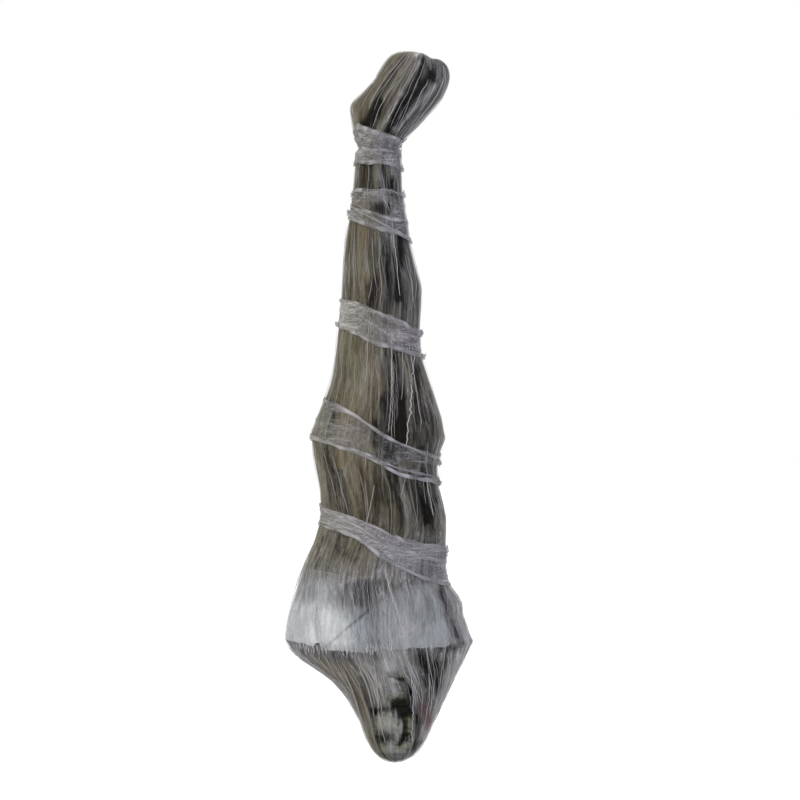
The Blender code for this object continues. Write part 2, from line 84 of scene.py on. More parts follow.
studio = {
    "photoSize": 800,  # the photo is square, this many pixels a side
    "ankleRow": 147,  # pixel row of the ankle tie's middle
    "hangingColumn": 378,  # pixel column of the hanging line
    "figureRows": (52, 763.5),  # pixel rows of the toes and the crown
    "cameraDistance": 6.5,
    "sensorWidth": 36,
    # each lamp's place, size and power
    "lamps": {
        "keyLight": ((-2.6, -3.6, 0.9), 2.2, 98),
        "fillLight": ((3.2, -2.6, -0.6), 2.6, 26),
        "topLight": ((0.4, 1.8, 2.4), 2.0, 20),
    },
    "worldLight": 0.66,
    "floorDrop": 0.32,  # floor below the crown
    "floorHalf": 30,  # half its width
    "floorColour": (0.85, 0.85, 0.85, 1),
    "floorRoughness": 0.9,
    "floorGlow": 0.62,  # lifts it to the white of the backdrop where the camera sees it
}


def buildStudio():
    scale = (cadHigh.z - cadLow.z) / (studio["figureRows"][1] - studio["figureRows"][0])
    half = studio["photoSize"] / 2
    view = Vector((
        (half - studio["hangingColumn"]) * scale,
        -studio["cameraDistance"],
        (studio["ankleRow"] - half) * scale,
    ))
    camera = bpy.data.objects.new("camera", bpy.data.cameras.new("camera"))
    camera.location = view
    camera.rotation_euler = (math.pi / 2, 0, 0)
    camera.data.sensor_width = studio["sensorWidth"]
    camera.data.lens = studio["sensorWidth"] * studio["cameraDistance"] / (studio["photoSize"] * scale)
    bpy.context.scene.collection.objects.link(camera)
    bpy.context.scene.camera = camera

    middle = Vector((0, 0, (cadLow.z + cadHigh.z) / 2))
    for name, (place, size, power) in studio["lamps"].items():
        light = bpy.data.objects.new(name, bpy.data.lights.new(name, "AREA"))
        light.data.energy = power
        light.data.size = size
        light.location = place
        light.rotation_euler = (middle - Vector(place)).to_track_quat("-Z", "Y").to_euler()
        bpy.context.scene.collection.objects.link(light)

    world = bpy.data.worlds.new("studio")
    world.use_nodes = True
    bpy.context.scene.world = world
    tree = world.node_tree
    backdrop = tree.nodes["Background"]
    backdrop.inputs["Color"].default_value = (1, 1, 1, 1)
    seen = seenRays(tree)
    strength = tree.nodes.new("ShaderNodeMapRange")
    strength.inputs["To Min"].default_value = studio["worldLight"]
    strength.inputs["To Max"].default_value = 1.0
    tree.links.new(seen, strength.inputs["Value"])
    tree.links.new(strength.outputs["Result"], backdrop.inputs["Strength"])

    floorMaterial = bpy.data.materials.new("paleFloor")
    floorMaterial.use_nodes = True
    tree = floorMaterial.node_tree
    shader = tree.nodes["Principled BSDF"]
    shader.inputs["Base Color"].default_value = studio["floorColour"]
    shader.inputs["Roughness"].default_value = studio["floorRoughness"]
    shader.inputs["Emission Color"].default_value = (1, 1, 1, 1)
    glow = tree.nodes.new("ShaderNodeMath")
    glow.operation = "MULTIPLY"
    glow.inputs[1].default_value = studio["floorGlow"]
    tree.links.new(seenRays(tree), glow.inputs[0])
    tree.links.new(glow.outputs[0], shader.inputs["Emission Strength"])
    mesh = bpy.data.meshes.new("floor")
    far, level = studio["floorHalf"], cadLow.z - studio["floorDrop"]
    corners = [(x * far, y * far, level) for x, y in ((-1, -1), (1, -1), (1, 1), (-1, 1))]
    mesh.from_pydata(corners, [], [(0, 1, 2, 3)])
    mesh.materials.append(floorMaterial)
    floor = bpy.data.objects.new("floor", mesh)
    bpy.context.scene.collection.objects.link(floor)
    bpy.context.scene.view_settings.view_transform = "Standard"
    print("studio: camera, three lamps, floor")


# 1 for what the camera sees, straight or in a gloss or through something clear.
def seenRays(tree):
    rays = tree.nodes.new("ShaderNodeLightPath")
    total = rays.outputs["Is Camera Ray"]
    for name in ("Is Glossy Ray", "Is Transmission Ray"):
        add = tree.nodes.new("ShaderNodeMath")
        add.operation = "MAXIMUM"
        tree.links.new(total, add.inputs[0])
        tree.links.new(rays.outputs[name], add.inputs[1])
        total = add.outputs[0]
    return total


# reading the solids

spine = {
    "bodyStep": 0.0034,  # row spacing down the figure
    "footLean": math.radians(27),  # how far the feet lean from the hanging line
    "footBend": (0.010, 0.115),  # heights between which the feet bend over
    "footLength": 0.165,  # along the lean, up to the middle of the toe caps
    "crownTurn": -1.462,  # below this height the rows fan round to the crown
    "capRows": 22,
    "reach": 0.34,  # how far out the rays start
    "startMiddle": (0.05, 0),  # first guess at the top section's middle
    "soften": (2.2, 2.0),  # rows and columns over which the surface is smoothed
    # places drawn out of the outline, or pressed in where the third value is below zero:
    # angle in degrees, how far down, how far out, and the size down and round
    "corners": (
        (-4, 1.249, 0.0085, 0.012, 0.45),
        (-6, 1.185, -0.0055, 0.024, 0.40),
        (-6, 1.150, 0.0030, 0.010, 0.30),
        (184, 1.247, 0.0045, 0.010, 0.45),
        (190, 1.292, 0.0030, 0.012, 0.45),
        (181, -0.074, 0.0085, 0.011, 0.45),
        (180, -0.135, -0.0070, 0.022, 0.50),
        (-3, -0.2635, -0.0075, 0.006, 0.60),
        (-92, 1.470, -0.0102, 0.115, 0.60),
        (4, 0.735, 0.0040, 0.016, 0.40),
        (182, 0.722, 0.0045, 0.016, 0.40),
    ),
}


def solidTree(names):
    points, faces = [], []
    for name in names:
        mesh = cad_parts[name].data
        start = len(points)
        points += [vertex.co.copy() for vertex in mesh.vertices]
        faces += [[start + i for i in polygon.vertices] for polygon in mesh.polygons]
    return BVHTree.FromPolygons(points, faces)


# Level rows: where each row's rays point at, and its two directions round the figure.
def levelRows(heights, middles):
    count = len(heights)
    origins = np.zeros((count, 3))
    origins[:, :2] = middles
    origins[:, 2] = heights
    across = np.tile((1.0, 0, 0), (count, 1))
    down = np.tile((0, 0, -1.0), (count, 1))
    level = {"origins": origins, "across": across, "down": down}
    return {**level, "tilt": np.zeros(count), "path": -np.array(heights)}


# Rows that fan round the rows' first (end 0) or last (end -1) point, closing on a pole.
def capRows(rows, end, count):
    sign = 1 if end == -1 else -1
    tilts = np.linspace(0, math.pi / 2, count + 1)[1:]
    if end == 0:
        tilts = tilts[::-1]
    more = {key: np.repeat(rows[key][end][None], count, axis=0) for key in rows}
    more["tilt"] = tilts * sign
    order = (rows, more) if end == -1 else (more, rows)
    return {key: np.concatenate([part[key] for part in order]) for key in rows}


# How far the solid's outside is from each row's middle, in each direction round it.
def readSkin(tree, rows, columns, reach=spine["reach"]):
    angles = tau * np.arange(columns) / columns
    level = np.cos(angles)[None, :, None] * rows["across"][:, None, :]
    level = level + np.sin(angles)[None, :, None] * np.array((0, 1.0, 0))
    tilt = rows["tilt"][:, None, None]
    directions = np.cos(tilt) * level + np.sin(tilt) * rows["down"][:, None, :]
    radii = np.full(directions.shape[:2], np.nan)
    for r, origin in enumerate(rows["origins"]):
        middle = Vector(origin)
        for c in range(columns):
            direction = Vector(directions[r, c])
            hit = tree.ray_cast(middle + direction * reach, -direction, reach)[0]
            if hit is not None:
                radii[r, c] = (hit - middle).dot(direction)
    return directions, fillGaps(radii)


# Rays that missed take their neighbours' reach, and a row that missed whole closes up.
def fillGaps(radii, closed=0.001):
    for row in radii:
        missing = np.isnan(row)
        if missing.all():
            row[:] = closed
        elif missing.any():
            spots = np.arange(len(row))
            row[missing] = np.interp(spots[missing], spots[~missing], row[~missing], period=len(row))
    return radii


# A field softened down its rows and round its columns, by standard deviations in rows and columns.
def smoothed(field, alongRows, alongColumns, loop=True):
    for axis, sigma in ((0, alongRows), (1, alongColumns)):
        if sigma <= 0:
            continue
        half = int(3 * sigma) + 1
        weights = np.exp(-0.5 * (np.arange(-half, half + 1) / sigma) ** 2)
        weights /= weights.sum()
        mode = "wrap" if axis == 1 and loop else "edge"
        pad = [(0, 0)] * field.ndim
        pad[axis] = (half, half)
        padded = np.pad(field, pad, mode=mode)
        field = sum(
            weight * np.take(padded, np.arange(i, i + field.shape[axis]), axis=axis)
            for i, weight in enumerate(weights)
        )
    return field


# The middle of the solid's section at each height, found from its left, right, front and back.
def sectionMiddles(tree, heights, guess, reach=0.4, soften=4):
    middles = []
    spot = np.array(guess, float)
    for height in heights:
        for _ in range(2):
            for axis in (0, 1):
                ends = []
                for sign in (-1, 1):
                    direction = Vector((sign, 0, 0)) if axis == 0 else Vector((0, sign, 0))
                    start = Vector((*spot, height)) + direction * reach
                    hit = tree.ray_cast(start, -direction, 2 * reach)[0]
                    ends.append(hit[axis] if hit is not None else spot[axis])
                spot[axis] = (ends[0] + ends[1]) / 2
        middles.append(spot.copy())
    return smoothed(np.array(middles), soften, 0)


envelopeTree = solidTree(["shroud_gauze", "feet_gauze"])


def envelopeRows():
    low, high = spine["footBend"]
    heights = np.arange(high, spine["crownTurn"], -spine["bodyStep"])
    middles = sectionMiddles(envelopeTree, heights, spine["startMiddle"])
    rows = levelRows(heights, middles)
    # the feet: straight on from the top of the bend, leaning over
    lean = spine["footLean"]
    turned = lean * eased((heights - low) / (high - low))
    steps = int((spine["footLength"] - high) / spine["bodyStep"]) + 1
    path = np.arange(1, steps + 1)[::-1] * spine["bodyStep"]
    top = rows["origins"][0]
    upward = np.array((math.sin(lean), 0, math.cos(lean)))
    feet = {
        "origins": top + path[:, None] * upward,
        "across": np.tile((math.cos(lean), 0, -math.sin(lean)), (steps, 1)),
        "down": np.tile(-upward, (steps, 1)),
        "tilt": np.zeros(steps),
        "path": -high - path,
    }
    rows["across"] = np.stack([np.cos(turned), 0 * turned, -np.sin(turned)], axis=1)
    rows["down"] = np.stack([-np.sin(turned), 0 * turned, -np.cos(turned)], axis=1)
    rows = {key: np.concatenate([feet[key], rows[key]]) for key in rows}
    rows = capRows(rows, 0, spine["capRows"])
    return capRows(rows, -1, spine["capRows"])


# The gauze's outer surface as a grid of rows down the figure and columns round it. Along is measured down
# from the ankle tie, so it is below zero on the feet. Angle 0 is the figure's right in the photo, a
# quarter turn is its back and minus a quarter turn its front.
class Envelope:

    columns = 180

    def __init__(self):
        self.rows = envelopeRows()
        self.directions, radii = readSkin(envelopeTree, self.rows, self.columns)
        self.radii = smoothed(radii, *spine["soften"])
        body = np.flatnonzero(self.rows["tilt"] == 0)
        self.first, self.last = body[0], body[-1]
        self.capSizes = self.radii[self.first].mean(), self.radii[self.last].mean()
        tilt = self.rows["tilt"]
        self.along = self.rows["path"] + tilt * np.where(tilt < 0, *self.capSizes)
        self.origins = np.repeat(self.rows["origins"][:, None, :], self.columns, axis=1)
        angle = (tau * np.arange(self.columns) / self.columns)[None, :]
        for middle, down, reach, tall, wide in spine["corners"]:
            away = turnFrom(angle, math.radians(middle))
            share = np.exp(-((away / wide) ** 2) - np.abs((self.along[:, None] - down) / tall) ** 1.3)
            self.radii = self.radii + reach * share

    # A field's value between the grid's rows and columns.
    def blend(self, field, angle, along):
        row = np.interp(along, self.along, np.arange(len(self.along)))
        r0 = np.clip(row.astype(int), 0, len(self.along) - 2)
        column = np.asarray(angle) / tau * self.columns
        c0 = np.floor(column).astype(int)
        downShare, roundShare = (row - r0)[..., None], (column - c0)[..., None]
        c0, c1 = c0 % self.columns, (c0 + 1) % self.columns
        upper = field[r0, c0] * (1 - roundShare) + field[r0, c1] * roundShare
        lower = field[r0 + 1, c0] * (1 - roundShare) + field[r0 + 1, c1] * roundShare
        return upper * (1 - downShare) + lower * downShare

    # Points of the surface, lifted outwards.
    def at(self, angle, along, lift=0.0):
        angle, along, lift = np.broadcast_arrays(angle, along, lift)
        reach = self.blend(self.radii[..., None], angle, along) + lift[..., None]
        return self.blend(self.origins, angle, along) + self.blend(self.directions, angle, along) * reach

    # The angle at which the front of a level row has each place across.
    def frontAngle(self, across, along):
        across, along = np.broadcast_arrays(np.asarray(across, float), np.asarray(along, float))
        angles = np.linspace(-math.pi, 0, 121)
        rows = self.at(angles[None, :], along.reshape(-1, 1))[:, :, 0]
        found = [np.interp(x, np.maximum.accumulate(row), angles) for x, row in zip(across.ravel(), rows)]
        return np.array(found).reshape(across.shape)

    # Each point's angle and distance down the figure, and how deep inside the gauze it is.
    def locate(self, points):
        body = slice(self.first, self.last + 1)
        found = []
        for some in np.array_split(points, len(points) // 4000 + 1):
            away = some[:, None, :] - self.rows["origins"][None, body]
            ahead = np.einsum("nrk,rk->nr", away, self.rows["down"][body])
            row = np.abs(ahead).argmin(axis=1)
            picked = np.arange(len(some))
            away, ahead = away[picked, row], ahead[picked, row]
            row = row + self.first
            side = (away * self.rows["across"][row]).sum(axis=1)
            angle, radial = np.arctan2(away[:, 1], side), np.hypot(side, away[:, 1])
            above, below = (row == self.first) & (ahead < 0), (row == self.last) & (ahead > 0)
            capSize = np.where(above, *self.capSizes)
            tilted = np.arctan2(ahead, radial) * capSize
            along = self.along[row] + np.where(above | below, tilted, ahead)
            distance = np.where(above | below, np.hypot(ahead, radial), radial)
            reach = self.blend(self.radii[..., None], angle, along)[..., 0]
            found.append(np.stack([angle, along, reach - distance]))
        return np.concatenate(found, axis=1)


envelope = Envelope()
print(f"envelope: {len(envelope.along)} rows of {envelope.columns}")


# patterns in the cloth

noiseAbove = 0.5  # how far above the ankle tie the cells of noise start
noiseSpan = 2.6  # how far down they go on from there


# Smooth noise from 0 to 1 in long cells: so many of them round the figure, each this long down it.
def longNoise(angle, along, seed, cells, length, wander=0.35):
    rng = np.random.default_rng(seed)
    values = rng.uniform(0, 1, (int(noiseSpan / length) + 4, cells))
    bend = rng.uniform(0, tau, 3)
    sway = np.sin(5 * along + bend[0]) + 0.6 * np.sin(13 * along + 2 * angle + bend[1])
    u = angle / tau * cells + wander * sway
    v = np.clip((along + noiseAbove) / length + 0.3 * np.sin(3 * angle + bend[2]), 0, len(values) - 1.001)
    u0, v0 = np.floor(u).astype(int), np.floor(v).astype(int)
    tu, tv = eased(u - u0), eased(v - v0)
    u0, u1 = u0 % cells, (u0 + 1) % cells
    upper = values[v0, u0] * (1 - tu) + values[v0, u1] * tu
    lower = values[v0 + 1, u0] * (1 - tu) + values[v0 + 1, u1] * tu
    return upper * (1 - tv) + lower * tv


# Gathered cloth: sharp ridges down the figure that come and go, from 0 in a valley to 1 on a ridge.
def pleats(angle, along, seed, cells=(20, 39, 71), length=0.30):
    total = 0
    for k, (count, weight) in enumerate(zip(cells, (0.55, 0.30, 0.15))):
        ridge = 1 - np.abs(2 * longNoise(angle, along, seed + k, count, length / (1 + 0.5 * k)) - 1)
        total = total + weight * ridge**1.4
    return np.clip((total - 0.22) / 0.62, 0, 1)


# Thin pale lines that run down the figure, each coming and going, from 0 off a line to 1 on it.
def fineLines(angle, along, seed, cells, length, sharp=7):
    total = 0
    for k, (count, weight) in enumerate(cells):
        line = (1 - np.abs(2 * longNoise(angle, along, seed + k, count, length) - 1)) ** sharp
        shown = eased((longNoise(angle, along, seed + 20 + k, count, 0.11) - 0.25) / 0.5)
        total = np.maximum(total, weight * line * shown)
    return total


# A value read from a table with rows down the figure, each as (how far down, left, front, right, back).
def tableAt(table, angle, along):
    down = [row[0] for row in table]
    left, front, right, back = (np.interp(along, down, [row[k] for row in table]) for k in range(1, 5))
    side, ahead = np.cos(angle), -np.sin(angle)
    across = np.where(side < 0, left, right)
    middle = np.where(ahead > 0, front, back)
    share = eased(np.abs(side) * 1.1)
    return across * share + middle * (1 - share)


accents = {
    # on the front, as (x, z, x, z, radius, amount): from one place to another, in metres
    # the dark accents are painted shade in creases, hollows and gaps between parts, also pressed in a
    # little in the stuffing
    "dark": (
        (0.1315, 0.1744, 0.0228, 0.0278, 0.012, 0.85),  # painted shade between the feet
        (0.112, 0.215, 0.150, 0.150, 0.006, 0.5),
        (-0.022, 0.045, 0.006, 0.098, 0.012, 0.8),
        (0.110, 0.190, 0.040, 0.075, 0.010, 0.7),
        (0.060, 0.220, -0.033, 0.050, 0.009, 0.55),  # painted shade in the hollow beside the near heel
        (-0.030, -0.040, -0.030, -0.115, 0.016, 0.4),
        (0.035, -0.085, 0.035, -0.118, 0.009, 0.6),
        (0.006, -0.160, 0.022, -0.164, 0.013, 0.9),  # painted shade in the hole in the shin tie
        (0.056, -0.235, 0.050, -0.387, 0.010, 0.8),
        (-0.013, -0.349, -0.015, -0.417, 0.014, 0.6),
        (0.038, -0.513, 0.050, -0.655, 0.007, 0.6),
        (0.050, -0.640, 0.060, -0.755, 0.018, 1.0),  # painted shade between the thighs
        (0.096, -0.566, 0.104, -0.778, 0.012, 0.7),
        (-0.005, -0.700, -0.005, -0.745, 0.012, 0.5),
        (0.020, -0.850, 0.025, -0.950, 0.050, 0.32),
        (0.120, -0.830, 0.120, -0.940, 0.018, 0.6),
        (-0.131, -0.992, -0.053, -1.040, 0.012, 0.25),
        (-0.070, -1.105, -0.010, -1.098, 0.024, 0.3),  # painted shadow in the arch above the chest cloth
        (0.157, -1.117, 0.186, -1.195, 0.006, 0.6),
        (0.186, -1.195, 0.206, -1.240, 0.008, 1.0),
        (0.155, -1.262, 0.212, -1.257, 0.008, 0.7),
        (0.118, -1.285, 0.130, -1.335, 0.018, 0.9),  # painted shade beside the neck
        (0.096, -1.445, 0.088, -1.510, 0.016, 0.85),  # painted shade beside the face
        (0.150, -1.300, 0.155, -1.350, 0.020, 0.4),
    ),
    "holes": (
        (0.056, -1.402, 0.066, -1.420, 0.019, 1.2),  # before the mouth
        (-0.006, -1.411, 0.018, -1.414, 0.010, 0.5),
        (0.012, -1.485, 0.018, -1.488, 0.018, 0.6),
        (0.074, -1.450, 0.054, -1.502, 0.009, 0.6),
        (0.036, -1.385, 0.050, -1.380, 0.016, 0.5),  # before the cheek
        (0.029, -1.325, 0.065, -1.334, 0.004, 0.7),  # cracks over the cheek
        (0.065, -1.334, 0.080, -1.370, 0.004, 0.8),
        (0.080, -1.370, 0.083, -1.395, 0.004, 0.8),
        (0.026, -1.316, 0.053, -1.322, 0.004, 0.25),
        (0.056, -1.343, 0.032, -1.347, 0.004, 0.3),
    ),
    "stain": (
        (0.112, -1.405, 0.140, -1.470, 0.013, 0.8),  # a dull red mark beside the face
    ),
    "bright": (
        (0.038, -1.384, 0.046, -1.378, 0.015, 0.26),  # the cheek: its own paler colour with a painted highlight
        (-0.006, -1.455, 0.050, -1.450, 0.012, 0.16),  # below the eyes
    ),
    "hollows": (
        (0.058, -1.408, 0.066, -1.420, 0.016, 1.4),  # the head's own hollows
        (0.046, -1.394, 0.050, -1.410, 0.013, 0.50),
        (-0.008, -1.410, 0.018, -1.414, 0.009, 0.5),
        (0.008, -1.484, 0.022, -1.488, 0.015, 0.72),
        (0.074, -1.450, 0.056, -1.498, 0.007, 0.6),
        (0.029, -1.325, 0.065, -1.334, 0.004, 0.6),
        (0.065, -1.334, 0.078, -1.370, 0.004, 0.6),
        (0.026, -1.316, 0.053, -1.322, 0.003, 0.5),  # scales on the neck
        (0.053, -1.322, 0.056, -1.343, 0.003, 0.5),
        (0.056, -1.343, 0.032, -1.347, 0.003, 0.5),
        (0.032, -1.347, 0.024, -1.330, 0.003, 0.4),
        (0.020, -1.352, 0.016, -1.385, 0.003, 0.4),
    ),
    "chestDark": (
        (0.160, -1.100, 0.200, -1.244, 0.011, 1.0),  # painted shade in the crease beside the right shoulder
        (0.120, -1.090, 0.150, -1.075, 0.010, 0.4),
    ),
    "pale": (
        (0.000, 0.030, 0.058, 0.126, 0.009, 0.34),  # over the near foot
        (0.058, 0.126, 0.104, 0.207, 0.009, 0.28),
        (0.044, 0.036, 0.146, 0.150, 0.006, 0.26),  # over the far foot
        (0.088, 0.228, 0.108, 0.236, 0.010, 0.5),  # between the toes
        (0.023, -1.074, 0.071, -1.229, 0.003, 0.3),
        (-0.103, -1.105, -0.065, -1.083, 0.004, 0.22),  # the arch's upper edge
        (-0.065, -1.083, -0.008, -1.078, 0.004, 0.22),
        (0.035, -1.284, 0.030, -1.400, 0.034, 0.16),
        (0.202, -1.284, 0.119, -1.486, 0.012, 0.5),
        (-0.150, -0.700, -0.050, -0.760, 0.030, 0.2),
    ),
}


# How strong the accents of a kind are at each point, on the front only. The dark and pale ones fray
# into streaks at their rims, and the others fray less and are bent a little.
def accentAt(points, kind):
    total = np.zeros(points.shape[:-1])
    ragged, bend = (0.18, 0) if kind in ("dark", "pale") else (0.05, 0.0022)
    across, height = points[..., 0], points[..., 2]
    spot = np.stack([
        across + bend * (np.sin(95 * height + 1) + 0.5 * np.sin(180 * height + 60 * across)),
        height + bend * (np.sin(120 * across + 2) + 0.5 * np.sin(190 * across - 50 * height)),
    ], axis=-1)
    streaks = np.sin(410 * across + 2.5 * np.sin(21 * height))
    streaks = streaks + np.sin(173 * across - 1.7 * np.sin(13 * height))
    for x0, z0, x1, z1, radius, amount in accents[kind]:
        start, step = np.array((x0, z0)), np.array((x1 - x0, z1 - z0))
        share = np.clip(((spot - start) @ step) / (step @ step), 0, 1)
        distance = np.linalg.norm(spot - start - share[..., None] * step, axis=-1) * (1 + ragged * streaks)
        total = total + amount * np.exp(-((distance / radius) ** 2))
    front = 1 - eased((points[..., 1] + 0.03) / 0.04)
    return np.clip(total, 0, 1) * front


# Coordinates for a fibrous pattern: two round the figure and one down it, in metres.
def grainOf(angle, along, girth=0.1):
    angle, along = np.broadcast_arrays(angle, along)
    return np.stack([girth * np.cos(angle), girth * np.sin(angle), along], axis=-1)


# meshes


# A mesh over a grid of points, with a mesh attribute for each field. Poles close a looped grid's first
# and last row on their middles.
def gridMesh(name, points, fields, loop=True, poles=False):
    rows, columns = points.shape[:2]
    vertices = points.reshape(-1, 3)
    index = np.arange(rows * columns).reshape(rows, columns)
    left = index if loop else index[:, :-1]
    right = np.roll(index, -1, axis=1) if loop else index[:, 1:]
    quads = np.stack([left[:-1], left[1:], right[1:], right[:-1]], axis=-1).reshape(-1, 4)
    faces = quads.tolist()
    ends = [0, rows - 1] if poles else []
    for k, row in enumerate(ends):
        tip = rows * columns + k
        for a, b in zip(left[row].tolist(), right[row].tolist()):
            faces.append((a, b, tip) if row == 0 else (b, a, tip))
    if ends:
        vertices = np.concatenate([vertices, points[ends].mean(axis=1)])
    mesh = bpy.data.meshes.new(name)
    mesh.from_pydata(vertices.tolist(), [], faces)
    for label, values in fields.items():
        values = np.asarray(values, float)
        size = 3 if values.ndim == 3 else 1
        values = values.reshape(rows, columns, size)
        flat = np.concatenate([values.reshape(-1, size), values[ends].mean(axis=1).reshape(-1, size)])
        attribute = mesh.attributes.new(label, "FLOAT" if size == 1 else "FLOAT_VECTOR", "POINT")
        attribute.data.foreach_set("value" if size == 1 else "vector", flat.astype(np.float32).ravel())
    mesh.shade_smooth()
    mesh.update()
    return mesh


# A finished object on the one body, in its material slot, with the nodes that it replaces.
def addPiece(name, mesh, material, replaced=()):
    piece = bpy.data.objects.new(name, mesh)
    mesh.materials.clear()
    mesh.materials.append(material)
    bpy.context.scene.collection.objects.link(piece)
    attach(piece, "root")
    if replaced:
        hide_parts(*replaced)
    return piece


def meshArea(mesh):
    return sum(polygon.area for polygon in mesh.polygons)


# materials


def newMaterial(name, roughness, sheen=0.0):
    material = bpy.data.materials.new(name)
    material.use_nodes = True
    shader = material.node_tree.nodes["Principled BSDF"]
    shader.inputs["Roughness"].default_value = roughness
    shader.inputs["Sheen Weight"].default_value = sheen
    shader.inputs["Specular IOR Level"].default_value = 0.1
    return material, material.node_tree, shader


def addNode(tree, kind, inputs=None, **settings):
    node = tree.nodes.new(kind)
    for key, value in settings.items():
        setattr(node, key, value)
    for key, value in (inputs or {}).items():
        if isinstance(value, bpy.types.NodeSocket):
            tree.links.new(value, node.inputs[key])
        else:
            node.inputs[key].default_value = value
    return node


def attributeOf(tree, name):
    node = addNode(tree, "ShaderNodeAttribute", attribute_name=name)
    return node.outputs["Vector" if name == "grain" else "Fac"]


# Noise drawn out along the third coordinate.
def stretchedNoise(tree, vector, scale, squash, detail, roughness, distortion):
    mapping = addNode(tree, "ShaderNodeMapping", {"Vector": vector, "Scale": (1, 1, squash)})
    inputs = {"Scale": scale, "Detail": detail, "Roughness": roughness, "Distortion": distortion}
    return addNode(tree, "ShaderNodeTexNoise", {"Vector": mapping.outputs[0], **inputs}).outputs["Fac"]


def colourRamp(tree, value, stops):
    ramp = addNode(tree, "ShaderNodeValToRGB", {"Fac": value})
    elements = ramp.color_ramp.elements
    elements.remove(elements[-1])
    elements[0].position = stops[0][0]
    elements[0].color = (*stops[0][1], 1)
    for position, colour in stops[1:]:
        elements.new(position).color = (*colour, 1)
    return ramp.outputs["Color"]


def remap(tree, value, low, high, toLow=0.0, toHigh=1.0):
    inputs = {"Value": value, "From Min": low, "From Max": high, "To Min": toLow, "To Max": toHigh}
    return addNode(tree, "ShaderNodeMapRange", inputs).outputs["Result"]


def combine(tree, operation, a, b):
    return addNode(tree, "ShaderNodeMath", {0: a, 1: b}, operation=operation).outputs[0]


# The sum of values times weights, each value counted from its own middle.
def weighted(tree, *parts):
    total = None
    for value, weight, middle in parts:
        part = combine(tree, "MULTIPLY", combine(tree, "SUBTRACT", value, middle), weight)
        total = part if total is None else combine(tree, "ADD", total, part)
    return total


def mixColour(tree, factor, a, b, blend="MIX"):
    node = addNode(tree, "ShaderNodeMix", data_type="RGBA", blend_type=blend)
    for socket, value in ((node.inputs[0], factor), (node.inputs[6], a), (node.inputs[7], b)):
        if isinstance(value, bpy.types.NodeSocket):
            tree.links.new(value, socket)
        elif isinstance(value, tuple):
            socket.default_value = (*value, 1)
        else:
            socket.default_value = value
    return node.outputs[2]


def addBump(tree, shader, height, strength, distance):
    bump = addNode(tree, "ShaderNodeBump", {"Height": height, "Strength": strength, "Distance": distance})
    tree.links.new(bump.outputs["Normal"], shader.inputs["Normal"])


# Thin lines that run along the third coordinate: 1 on a line and 0 off it.
def threads(tree, grain, scale, squash, width, distortion):
    field = stretchedNoise(tree, grain, scale, squash, 2, 0.5, distortion)
    away = combine(tree, "ABSOLUTE", combine(tree, "SUBTRACT", field, 0.5), 0.0)
    return remap(tree, away, 0.0, width, 1.0, 0.0)


# A web of fibres, opaque along the fibres and open between them. The cover attribute thickens it.
def gauzeMaterial(name, look):
    material, tree, shader = newMaterial(name, 0.9, 0.15)
    grain = attributeOf(tree, "grain")
    cover = attributeOf(tree, "cover")
    squash = look["squash"]
    broad = threads(tree, grain, look["broadScale"], squash, width=0.085, distortion=0.9)
    thin = threads(tree, grain, look["thinScale"], squash * 1.6, width=0.075, distortion=1.2)
    crumbs = stretchedNoise(tree, grain, look["crumbScale"], squash * 5, 4, 0.7, distortion=0.6)
    clouds = stretchedNoise(tree, grain, look["cloudScale"], 0.4, 2, 0.5, distortion=0.6)
    web = weighted(
        tree,
        (broad, look["broad"], 0.3),
        (thin, look["thin"], 0.3),
        (crumbs, look["crumb"], 0.5),
        (clouds, look["cloud"], 0.5),
    )
    alpha = remap(tree, combine(tree, "ADD", web, cover), 0.0, 1.0, *look["cover"])
    dense = combine(tree, "ADD", web, combine(tree, "MULTIPLY", cover, 0.5))
    shade = remap(tree, dense, -0.25, 0.85)
    cool = attributeOf(tree, "cool")
    dark = mixColour(tree, cool, look["warm"][0], look["cool"][0])
    pale = mixColour(tree, cool, look["warm"][1], look["cool"][1])
    colour = mixColour(tree, shade, dark, pale)
    stained = mixColour(tree, attributeOf(tree, "stain"), colour, stainColour)
    tree.links.new(stained, shader.inputs["Base Color"])
    tree.links.new(alpha, shader.inputs["Alpha"])
    addBump(tree, shader, web, 0.2, 0.0012)
    return material


stainColour = (0.20, 0.075, 0.085)  # dull red

# dark and pale colours, how opaque the web gets, the scales of its parts and how much each one shows
gauzeLooks = {
    "sleeve": {
        "warm": ((0.17, 0.155, 0.115), (0.50, 0.475, 0.40)),
        "cool": ((0.15, 0.15, 0.16), (0.58, 0.57, 0.63)),
        "cover": (0.02, 0.95),
        "broadScale": 62,
        "thinScale": 150,
        "crumbScale": 300,
        "cloudScale": 20,
        "squash": 0.080,
        "broad": 0.22,
        "thin": 0.14,
        "crumb": 0.45,
        "cloud": 0.3,
    },
    "tie": {
        "warm": ((0.22, 0.21, 0.19), (0.50, 0.49, 0.46)),
        "cool": ((0.18, 0.175, 0.195), (0.52, 0.505, 0.565)),
        "cover": (0.05, 1.0),
        "broadScale": 130,
        "thinScale": 260,
        "crumbScale": 260,
        "cloudScale": 44,
        "squash": 0.06,
        "broad": 0.26,
        "thin": 0.22,
        "crumb": 0.26,
        "cloud": 0.34,
    },
}


def strandMaterial(name, dark, pale):
    material, tree, shader = newMaterial(name, 0.8, 0.15)
    place = addNode(tree, "ShaderNodeTexCoord").outputs["Object"]
    speck = addNode(tree, "ShaderNodeTexNoise", {"Vector": place, "Scale": 60}).outputs["Fac"]
    level = weighted(tree, (attributeOf(tree, "tone"), 0.8, 0), (speck, 0.5, 0.5))
    tree.links.new(mixColour(tree, level, dark, pale), shader.inputs["Base Color"])
    return material


